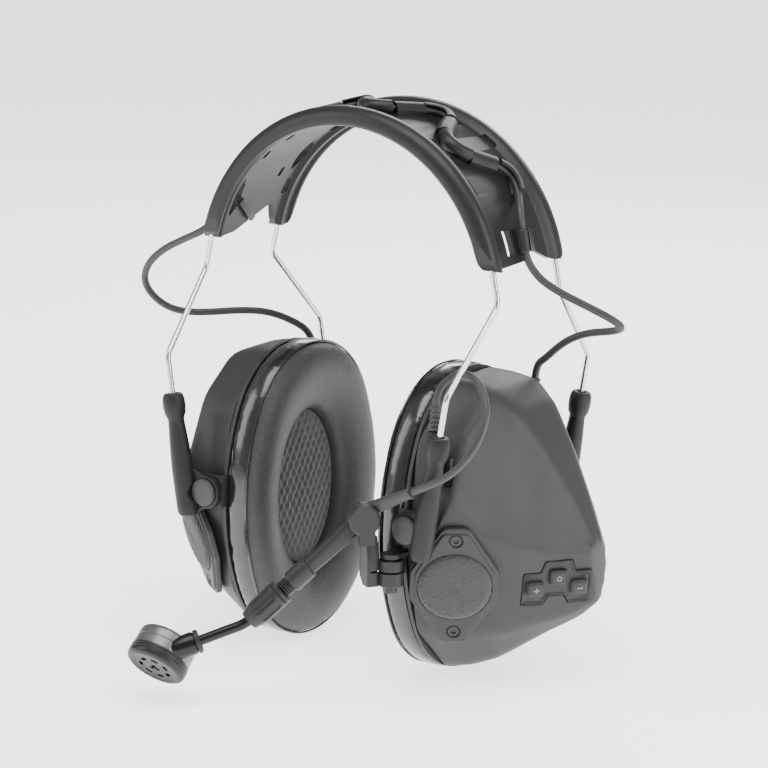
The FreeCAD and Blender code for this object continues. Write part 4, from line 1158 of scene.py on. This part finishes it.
# %% The band's stiffening bar, and the band itself
BAR_TURN = Matrix.Rotation(math.radians(-52), 4, "Z")
inner_bar = block(14.0, 2.6, -0.9, 1.4, 0.8, arch_place(-68.5, -6.6, 56.4) @ BAR_TURN)
rounded(inner_bar, 0.3, 2, 40)
band = joined(band, inner_bar, *guides)
finish_piece(band, "headband_moulding", BAND, "headband", "band", "headband", smooth=30)


def make_clip():
    """The sleeve that holds the cable where it leaves the band, with its latch."""
    sleeve = turned([(1.45, 0.0), (2.3, 0.0), (2.5, 0.25), (2.5, 7.1), (2.3, 7.4), (1.45, 7.4), (1.45, 0.0)], 40)
    foot = block(2.6, 4.6, 0.3, 7.0, 0.5, Matrix.Translation((-1.9, 0, 0)))
    latch = block(1.1, 3.4, 0.6, 7.8, 0.3, Matrix.Translation((0.4, -3.4, 0)))
    slot_tool = block(8.0, 0.7, -1.0, 9.0, 0.2, Matrix.Translation((4.4, 0, 0)))
    sleeve = carved(sleeve, slot_tool)
    for piece in (foot, latch):
        rounded(piece, 0.25, 2, 40)
    return joined(sleeve, foot, latch)


CLIP_PLACE = axes(LEFT_CLIP - CLIP_WAY * 3.2, (0.984, 0, 0.18), CLIP_WAY)
finish_piece(settle(make_clip(), CLIP_PLACE), "cable_clip_sleeve", BAND, "headband", "band", "cable_clip")
print("headband done")

# %% [markdown]
# ## The spring wires
# Two hard steel wires clamp the cups to the head. Each runs inside its rim and comes out at both ends, where
# it is bent twice on its way into an arm. A wire is bent round a former, so its line is straight runs and
# true arcs, and a round section is drawn along it.

# %% A bent wire
ARM_Y = 44.6
SLIDE_DOWN = Vector((-0.167, 0, -0.986)).normalized()
ARM_TOP = Vector((55.0, 0, 38.1))
WIRE_KNEE = Vector((57.2, 0, 51.1))
PIVOT = Vector((41.7, 0, 4.9))
WIRE_ARCH = 59.0


def arm_point(distance, side):
    """A point on an arm's axis, that far below the top of its collar."""
    point = ARM_TOP + SLIDE_DOWN * distance
    return Vector((point.x, side * ARM_Y, point.z))


def bent_line(points, radius, steps=8):
    """Straight runs with a true arc at each inner point."""
    line = [points[0]]
    for before, corner, after in zip(points, points[1:], points[2:]):
        back, on = (before - corner).normalized(), (after - corner).normalized()
        half = back.angle(on) / 2
        centre = corner + (back + on).normalized() * (radius / math.sin(half))
        start = corner + back * (radius / math.tan(half)) - centre
        end = corner + on * (radius / math.tan(half)) - centre
        for k in range(steps + 1):
            line.append(centre + start.lerp(end, k / steps).normalized() * radius)
    return line + [points[-1]]


def drawn_tube(name, line, radius, resolution=4):
    """A round section drawn along a line, as a mesh."""
    curve = bpy.data.curves.new(name, "CURVE")
    curve.dimensions = "3D"
    curve.bevel_depth = radius
    curve.bevel_resolution = resolution
    curve.use_fill_caps = True
    spline = curve.splines.new("POLY")
    spline.points.add(len(line) - 1)
    for control, point in zip(spline.points, line):
        control.co = (*point, 1.0)
    piece = bpy.data.objects.new(name, curve)
    bpy.context.scene.collection.objects.link(piece)
    clear_selection()
    piece.select_set(True)
    bpy.context.view_layer.objects.active = piece
    bpy.ops.object.convert(target="MESH")
    clear_selection()
    return bpy.context.view_layer.objects.active


def wire_line(side):
    """From inside one arm, over the head in its rim, and down into the other arm."""
    y_rim = side * 19.2
    leave = on_arch(78, y_rim, WIRE_ARCH)
    a = math.radians(78)
    shoulder = leave + Vector((math.cos(a), 0, -math.sin(a))) * 11.5
    knee = Vector((WIRE_KNEE.x, side * ARM_Y, WIRE_KNEE.z))
    left = bent_line([arm_point(30.0, side), knee, shoulder, leave], 5.0)
    top = [on_arch(angle, y_rim, WIRE_ARCH) for angle in range(76, -77, -2)]
    right = [Vector((-p.x, p.y, p.z)) for p in reversed(left)]
    return left + top + right


for side, name in ((-1, "front"), (1, "rear")):
    wire = drawn_tube(name + "_spring", wire_line(side), 1.0)
    finish_piece(wire, name + "_spring_wire", STEEL, "headband", "spring_steel", name + "_wire", smooth=40)
print("spring wires done")

# %% [markdown]
# ## The arms
# Each wire ends in a plastic arm. A barrel-shaped collar grips the wire, which slides in it with some
# friction, and below it the shaft widens to a foot. The foot turns on the cup's pivot, under a round cap.

# %% An arm
def make_arm():
    """The wearer's left front arm: a turned shaft on a flat foot."""
    profile = [(0, 43.0), (2.3, 42.9), (3.2, 42.3), (3.75, 41.0), (3.8, 39.0), (3.8, 27.0), (3.62, 22.0),
               (3.2, 15.0), (2.85, 10.6), (2.8, 9.2), (3.05, 8.3), (3.6, 7.2), (3.88, 5.2), (3.9, 3.2),
               (3.7, 1.4), (3.25, 0.35), (2.7, 0.0), (1.7, 0.0), (1.2, 0.5), (0, 0.5)]
    shaft = turned(profile, 48, along(arm_point(0, -1), SLIDE_DOWN))
    outline = [(-5.4, -2.4), (-3.4, -5.2), (1.5, -6.4), (4.2, -9.0), (7.6, -9.4), (9.6, -6.0), (10.6, 3.5),
               (9.4, 8.6), (5.2, 7.4), (0.8, 5.8), (-3.4, 4.8), (-5.5, 1.8)]
    foot = slab(soft_corners(outline, 2.4, 4), 0.0, 2.9, axes((PIVOT.x, -41.0, PIVOT.z), (1, 0, 0), (0, -1, 0)))
    rounded(foot, 0.5, 3, 40)
    hole = rod(2.55, -1.0, 5.0, axes((PIVOT.x, -41.0, PIVOT.z), (1, 0, 0), (0, -1, 0)))
    seat = rod(4.9, 2.9, 9.0, axes((PIVOT.x, -41.0, PIVOT.z), (1, 0, 0), (0, -1, 0)), steps=48)
    shaft = welded(shaft, foot)
    return carved(shaft, joined(hole, seat))


arm_blank = make_arm()
for side, x_place in (("left", Matrix()), ("right", MIRROR_X)):
    for end, y_place in (("front", Matrix()), ("rear", MIRROR_Y)):
        name = side + "_" + end + "_arm"
        finish_piece(twin(arm_blank, x_place @ y_place), name + "_moulding", ARM, side + "_arms", "arm", name)
bpy.data.objects.remove(arm_blank)


# %% The pivots' caps
def make_pivot():
    """A pin with a broad domed cap."""
    profile = [(0, -3.1), (2.3, -3.1), (2.5, -2.9), (2.5, 0.1), (4.5, 0.1), (4.75, 0.35), (4.75, 0.9), (4.55, 1.25),
               (4.15, 1.42), (3.0, 1.5), (0, 1.52)]
    return turned(profile, 56, axes((PIVOT.x, -43.95, PIVOT.z), (1, 0, 0), (0, -1, 0)))


pivot_front = make_pivot()
pivot_rear = twin(pivot_front, MIRROR_Y)
pivots = joined(pivot_front, pivot_rear)
right_pivots = twin(pivots, MIRROR_X)
finish_piece(pivots, "left_pivot_caps", DISC, "left_cup", "button_disc", "left_pivot_pins")
finish_piece(right_pivots, "right_pivot_caps", DISC, "right_cup", "button_disc", "right_pivot_pins")
print("arms and pivots done")

# %% [markdown]
# ## Strain reliefs and the plug
# Where a cable enters something hard, a tapered rubber boot spreads its bend. The boots on the cups are short
# and flared, the plug's boot is ribbed, and the one by the boom is a long smooth cone. All are turned.

# %% The boots on the cups
def make_boot():
    """A short boot, flared where the cable enters."""
    profile = [(0, 0), (2.0, 0), (2.18, 0.2), (2.18, 3.2), (1.85, 3.8), (1.75, 4.6), (1.52, 8.6), (1.62, 8.95),
               (1.98, 9.15), (2.02, 9.6), (1.85, 9.9), (1.34, 9.9), (1.34, 7.0), (0, 7.0)]
    return turned(profile, 40, along(BOOT_BASE, BOOT_WAY))


boot = make_boot()
right_boot = twin(boot, MIRROR_X)
finish_piece(boot, "left_boot", CABLE, "left_cup", "cable", "left_cable_boot")
finish_piece(right_boot, "right_boot", CABLE, "right_cup", "cable", "right_cable_boot")


# %% The plug and its ribbed boot
def make_plug():
    """The plug's body, with grip rings and a knurled collar."""
    profile = [(0, 21.6), (2.3, 21.6), (2.5, 21.8), (2.5, 26.0), (2.25, 26.2), (2.25, 26.6), (2.5, 26.8), (2.5, 29.8),
               (2.8, 30.1), (2.8, 31.4), (2.55, 31.6), (2.55, 32.0), (2.8, 32.2), (2.8, 33.6), (2.55, 33.8),
               (2.55, 34.2), (2.8, 34.4), (2.8, 37.5), (2.6, 37.95), (0, 37.95)]
    return turned(profile, 48, Matrix.Translation((PLUG_TOP.x, PLUG_TOP.y, 0)))


def make_ribbed_boot():
    """Rings on a core, each a little smaller than the last."""
    profile = [(0, 0.0), (1.7, 0.0)]
    for k in range(5):
        start = 0.35 + 1.65 * k
        radius = 2.4 - 0.13 * k
        profile += [(1.55, start), (radius - 0.15, start + 0.05), (radius, start + 0.25), (radius, start + 0.75),
                    (radius - 0.15, start + 0.95), (1.5, start + 1.0)]
    profile += [(1.45, 8.55), (1.3, 8.6), (1.3, 6.0), (0, 6.0)]
    return turned(profile, 40, Matrix.Translation(PLUG_TOP))


finish_piece(make_plug(), "jack_plug", ARM, "left_cup", "arm", "mic_plug")
finish_piece(make_ribbed_boot(), "plug_boot", CABLE, "left_cup", "cable", "mic_plug_boot")


# %% The long boot at the boom's joint
def make_sheath():
    """A long cone with a ring where the lead enters."""
    length = (SHEATH_END - SHEATH_START).length
    profile = [(0, 1.5), (1.28, 1.5), (1.28, 0.0), (1.9, 0.0), (2.1, 0.2), (2.1, 1.1), (1.95, 1.35), (1.8, 1.6)]
    profile += [(1.8 + 0.75 * k / 8, 1.6 + (length - 3.4) * k / 8) for k in range(1, 9)]
    profile += [(2.5, length - 1.2), (2.25, length - 0.6), (1.6, length - 0.15), (0, length)]
    return turned(profile, 48, along(SHEATH_START, SHEATH_WAY))


sheath = finish_piece(make_sheath(), "long_boot", CABLE, None, "cable", "mic_cable_sheath")
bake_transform(sheath)
print("boots and plug done")

# %% [markdown]
# ## The boom
# The boom swings on a split bracket and lifts on an eye. The bracket is blocks and turned parts welded into
# one skin. The arm is drawn from the eye to a satin collar, with a long groove in its side, and a fluted nut
# beyond the collar grips the thin rod that carries the microphone.

# %% Places along the boom
POST = Vector((37.0, -45.2, 0))
BOOM_HEADING = Vector((-0.737, -0.676, 0)).normalized()
BOOM_DROP = math.radians(42.4)
BOOM_WAY = BOOM_HEADING * math.cos(BOOM_DROP) - Vector((0, 0, 1)) * math.sin(BOOM_DROP)


def boom_point(distance):
    return EYE + BOOM_WAY * distance


def heading_point(reach, height):
    """A point in the boom's upright plane."""
    point = EYE + BOOM_HEADING * reach
    return Vector((point.x, point.y, height))


# %% The bracket
def make_bracket():
    """A split clamp round the pin, a column, and the rear half of the boom's joint."""
    sleeve = [(2.3, -14.4), (3.8, -14.4), (4.1, -14.1), (4.1, -5.7), (3.8, -5.4), (2.3, -5.4), (2.3, -14.4)]
    clamp = turned(sleeve, 48, Matrix.Translation(POST))
    column = skinned([[(x, y, z) for x, y in soft_corners(corners, 0.9, 3)] for z, corners in (
        (-14.4, [(-1.2, -2.2), (3.7, -2.2), (3.7, 2.2), (-1.2, 2.2)]),
        (-11.5, [(-3.7, -2.2), (3.7, -2.2), (3.7, 2.2), (-3.7, 2.2)]),
        (-4.0, [(-3.7, -2.2), (3.7, -2.2), (3.7, 2.2), (-3.7, 2.2)]),
        (2.1, [(-3.7, -2.2), (2.0, -2.2), (2.0, 2.2), (-3.7, 2.2)]))])
    settle(column, axes((30.5, -48.3, 0), (0.85, -0.52, 0), (0, 0, 1)))
    neck_foot = EYE - EYE_AXIS * 3.5 - BOOM_HEADING * 0.95
    neck = block(5.4, 3.4, 0.0, 9.0, 0.8, axes((neck_foot.x, neck_foot.y, 0.5), BOOM_HEADING, (0, 0, 1)))
    ear = turned([(0, 0), (4.6, 0), (5.2, 0.5), (5.2, 2.6), (4.9, 3.2), (4.6, 3.4), (0, 3.4)], 56,
                 along(EYE - EYE_AXIS * 5.2, EYE_AXIS))
    bracket = welded(column, clamp, neck, ear)
    slit = block(9.0, 12.0, -9.75, -9.05, 0.2, Matrix.Translation((POST.x + 0.4, POST.y, 0)))
    return carved(bracket, slit)


finish_piece(make_bracket(), "boom_bracket_moulding", BOOM, "boom_bracket", "boom_plastic", "boom_bracket",
             smooth=30)


# %% The arm
def arm_section(width, height, corner):
    """A rounded section: local X along the eye's axis."""
    w, h = width / 2, height / 2
    return soft_corners([(-w, -h), (w, -h), (w, h), (-w, h)], corner, 5)


def make_boom_arm():
    """The eye, the grooved arm, the collar and the thread."""
    eye = turned([(0, -1.7), (4.9, -1.7), (5.2, -1.4), (5.2, 0.6), (4.95, 0.85), (4.95, 1.15), (4.6, 1.6),
                  (4.2, 1.7), (3.6, 1.7), (3.35, 1.4), (3.3, 0.9), (2.2, 0.9), (2.0, 1.15), (0, 1.2)], 64,
                 along(EYE, EYE_AXIS))
    stations = [(2.6, 3.1, 5.0, 1.2), (5.5, 3.3, 6.2, 1.4), (9.0, 4.6, 6.0, 1.9), (14.0, 5.2, 5.8, 2.2),
                (20.0, 5.2, 5.6, 2.4), (24.6, 5.2, 5.4, 2.5)]
    arm = skinned([[(x, y, s) for x, y in arm_section(w, h, c)] for s, w, h, c in stations])
    settle(arm, axes(EYE, EYE_AXIS, BOOM_WAY))
    groove = skinned([[(x, y, s) for x, y in soft_corners([(1.3, -h), (5, -h), (5, h), (1.3, h)], 0.5, 3)]
                      for s, h in ((6.8, 0.7), (9.0, 1.15), (23.4, 1.35), (23.9, 0.9))])
    settle(groove, axes(EYE, EYE_AXIS, BOOM_WAY))
    carved(arm, groove)
    collar = turned([(0, 23.9), (3.2, 23.9), (3.65, 24.4), (3.65, 31.2), (3.5, 31.8), (3.2, 32.0), (0, 32.0)], 56,
                    along(EYE, BOOM_WAY))
    profile = [(0, 31.8)]
    for k in range(4):
        profile += [(2.55, 31.9 + 0.85 * k), (2.95, 32.15 + 0.85 * k), (2.95, 32.45 + 0.85 * k),
                    (2.55, 32.7 + 0.85 * k)]
    thread = turned(profile + [(2.4, 35.4), (0, 35.4)], 48, along(EYE, BOOM_WAY))
    return joined(eye, arm, collar, thread)


boom_arm = finish_piece(make_boom_arm(), "boom_arm_moulding", BOOM, "boom", "boom_plastic", "boom_arm", smooth=30)


# %% The fluted nut
def make_nut():
    """A turned sleeve with eight flutes and a tapered nose."""
    profile = [(1.85, 35.6), (4.0, 35.6), (4.4, 35.9), (4.4, 36.9), (4.15, 37.15), (4.5, 37.5), (4.5, 45.9),
               (4.3, 46.7), (3.5, 49.9), (3.2, 50.5), (2.9, 50.6), (2.4, 50.6), (2.4, 47.6), (1.85, 47.4),
               (1.85, 35.6)]
    nut = turned(profile, 72)
    flutes = []
    for k in range(8):
        turn = math.tau * (k + 0.3) / 8
        flute = turned([(0, 38.6), (0.6, 38.75), (1.0, 39.3), (1.0, 46.2), (0.7, 47.4), (0, 47.8)], 20)
        flutes.append(settle(flute, Matrix.Translation((4.85 * math.cos(turn), 4.85 * math.sin(turn), 0))))
    carved(nut, *flutes)
    return settle(nut, along(EYE, BOOM_WAY))


finish_piece(make_nut(), "fluted_nut", BOOM, "boom_nut", "boom_plastic", "boom_nut", smooth=30)

# %% The rod
ROD_ROUTE = [boom_point(36.0), boom_point(52.0), heading_point(45.5, -28.6), heading_point(56.0, -32.4)]
ROD_END = ROD_ROUTE[3]
BARREL_WAY = (ROD_END - ROD_ROUTE[2]).normalized()


def rod_line():
    """The rod is straight in the nut, bends once sharply and once gently, and ends in the ring."""
    first = bent_line(ROD_ROUTE[:3], 16.0, 14)
    last = bent_line(ROD_ROUTE[1:], 40.0, 10)
    return first[:-1] + last[1:]


boom_rod = drawn_tube("rod", rod_line(), 1.75, 6)
finish_piece(boom_rod, "boom_rod_tube", ROD, "boom", "cable", "boom_rod", smooth=50)
RING_PROFILE = [(1.8, -2.4), (2.5, -2.4), (2.9, -3.0), (3.5, -3.0), (4.0, -2.5), (4.0, -1.4), (1.8, -1.4),
                (1.8, -2.4)]
ring = turned(RING_PROFILE, 48, along(ROD_END, BARREL_WAY))
finish_piece(ring, "rod_ring", BOOM, "boom", "boom_plastic", "mic_barrel")
print("boom done")

# %% [markdown]
# ## The microphone
# The capsule is a flat drum on a short sleeve, so that it can be turned to the mouth. Its back half is satin
# metal with a joint line round it, and its front is a black ridged cap with slots for the sound.

# %% The capsule
CAPSULE_OFFSET = Vector((-3.3, 4.8, -1.25))
CAPSULE_CENTRE = ROD_END + BARREL_WAY * 10.9 + CAPSULE_OFFSET
CAPSULE_WAY = Vector((0.004, -0.731, -0.684)).normalized()
CAPSULE_PLACE = axes(CAPSULE_CENTRE - CAPSULE_WAY * 5.9, BARREL_WAY, CAPSULE_WAY)


def make_drum():
    """The metal back of the capsule."""
    profile = [(0, 0.0), (8.2, 0.05), (9.3, 0.3), (9.9, 0.9), (10.1, 1.7), (10.1, 3.9), (9.9, 4.05), (9.9, 4.2),
               (10.15, 4.35), (10.2, 7.2), (9.9, 7.3), (9.9, 9.0), (0, 9.0)]
    return turned(profile, 88, CAPSULE_PLACE)


def make_sleeve():
    """The dark sleeve between the rod's ring and the drum."""
    profile = [(0, 1.0), (1.85, 1.0), (1.85, -1.3), (3.3, -1.3), (3.7, -1.05), (3.9, -0.4), (3.9, 5.4), (3.7, 6.6),
               (3.1, 7.5), (1.8, 8.1), (0, 8.2)]
    return turned(profile, 56, along(ROD_END, BARREL_WAY))


def make_cap():
    """The ridged cap with its slots."""
    profile = [(0, 7.3), (10.3, 7.3), (10.4, 7.9), (10.15, 8.1), (10.15, 8.35), (10.4, 8.55), (10.4, 9.0),
               (10.15, 9.2), (10.15, 9.45), (10.4, 9.65), (10.35, 10.4), (10.0, 11.1), (9.4, 11.5), (8.6, 11.65),
               (8.1, 11.4), (0, 11.35)]
    cap = turned(profile, 88)
    tools = []
    for k in range(7):
        turn = math.tau * k / 7
        place = Matrix.Rotation(turn, 4, "Z") @ Matrix.Translation((5.0, 0, 0))
        tools.append(block(1.5, 2.6, 10.0, 14.0, 0.65, place))
    for x, y in ((-1.0, 0.6), (1.0, 0.6), (0.0, -0.85)):
        tools.append(block(1.7, 1.5, 10.0, 14.0, 0.6, Matrix.Translation((x, y, 0))))
    carved(cap, *tools)
    return settle(cap, CAPSULE_PLACE)


finish_piece(make_drum(), "capsule_drum", CAPSULE, "microphone", "capsule", "mic_housing")
finish_piece(make_sleeve(), "capsule_sleeve", ROD, "microphone", "boom_plastic")
finish_piece(make_cap(), "capsule_cap", GRILLE, "microphone", "grille", "mic_grille")
print("microphone done")

# %% [markdown]
# ## The pieces that stay as engineered
# The ear-cup base plates, boards, cells, speakers and small pins are plain moulded and stamped parts, mostly
# out of sight, and their engineered shape is already their real one. They only need a finish.

# %% Finishes for the engineered parts
KEPT = {
    "left_base_plate": SHELL, "right_base_plate": SHELL, "left_speaker": SPEAKER, "right_speaker": SPEAKER,
    "left_circuit_board": BOARD, "right_circuit_board": BOARD, "right_batteries": CELL,
    "left_outer_microphone": SPEAKER, "right_outer_microphone": SPEAKER, "mic_element": SPEAKER,
    "mic_socket": ARM, "boom_mount": BOOM, "boom_pivot_pin": BOOM, "bracket_screw": SCREW,
}
for name, material in KEPT.items():
    for part in frame["nodes"][name].material_slots:
        part.link = "OBJECT"
        part.material = material
print("finished", len(KEPT), "engineered parts")

# %% [markdown]
# ## The stage
# A product picture like this is lit by large soft boxes, so that dark satin plastic shows its form by broad
# pale reflections. It lies on a white light table, so the floor is plain and pale and glows a little, and
# the surroundings are almost white.

# %% Floor and surroundings
FLOOR_HEIGHT = cad_box[0][2] - 0.0004
bpy.ops.mesh.primitive_plane_add(size=24, location=(0, 0, FLOOR_HEIGHT))
floor = bpy.context.object
floor.name = "floor"
floor_material, _, floor_shader, _ = new_material("pale floor", (0.93, 0.93, 0.93), 0.9)
floor_shader.inputs["Specular IOR Level"].default_value = 0.1
floor_shader.inputs["Emission Color"].default_value = (1.0, 1.0, 1.0, 1.0)
floor_shader.inputs["Emission Strength"].default_value = 1.9
floor.data.materials.append(floor_material)

world = bpy.data.worlds.new("studio")
world.use_nodes = True
world.node_tree.nodes["Background"].inputs["Color"].default_value = (1.0, 1.0, 1.0, 1.0)
world.node_tree.nodes["Background"].inputs["Strength"].default_value = 0.4
bpy.context.scene.world = world


# %% Soft boxes
def soft_box(name, place, aim, width, height, watts):
    """A rectangular soft light at a place, turned to an aim."""
    data = bpy.data.lights.new(name, "AREA")
    data.shape = "RECTANGLE"
    data.size, data.size_y = width, height
    data.energy = watts
    light = bpy.data.objects.new(name, data)
    light.location = place
    light.rotation_euler = (Vector(aim) - Vector(place)).to_track_quat("-Z", "Y").to_euler()
    bpy.context.scene.collection.objects.link(light)
    return light


MIDDLE = (0.0, 0.0, 0.04)
soft_box("overhead box", (0.15, -0.25, 1.0), MIDDLE, 0.9, 0.7, 12)
soft_box("left box", (-0.75, -0.75, 0.55), MIDDLE, 0.45, 0.8, 5)
soft_box("right box", (1.05, 0.05, 0.45), MIDDLE, 0.35, 0.8, 8)
soft_box("rear strip", (-0.2, 0.95, 0.6), MIDDLE, 1.0, 0.3, 7)
print("stage done, floor at", round(FLOOR_HEIGHT, 4))

# %% End of the scene
print("scene built")
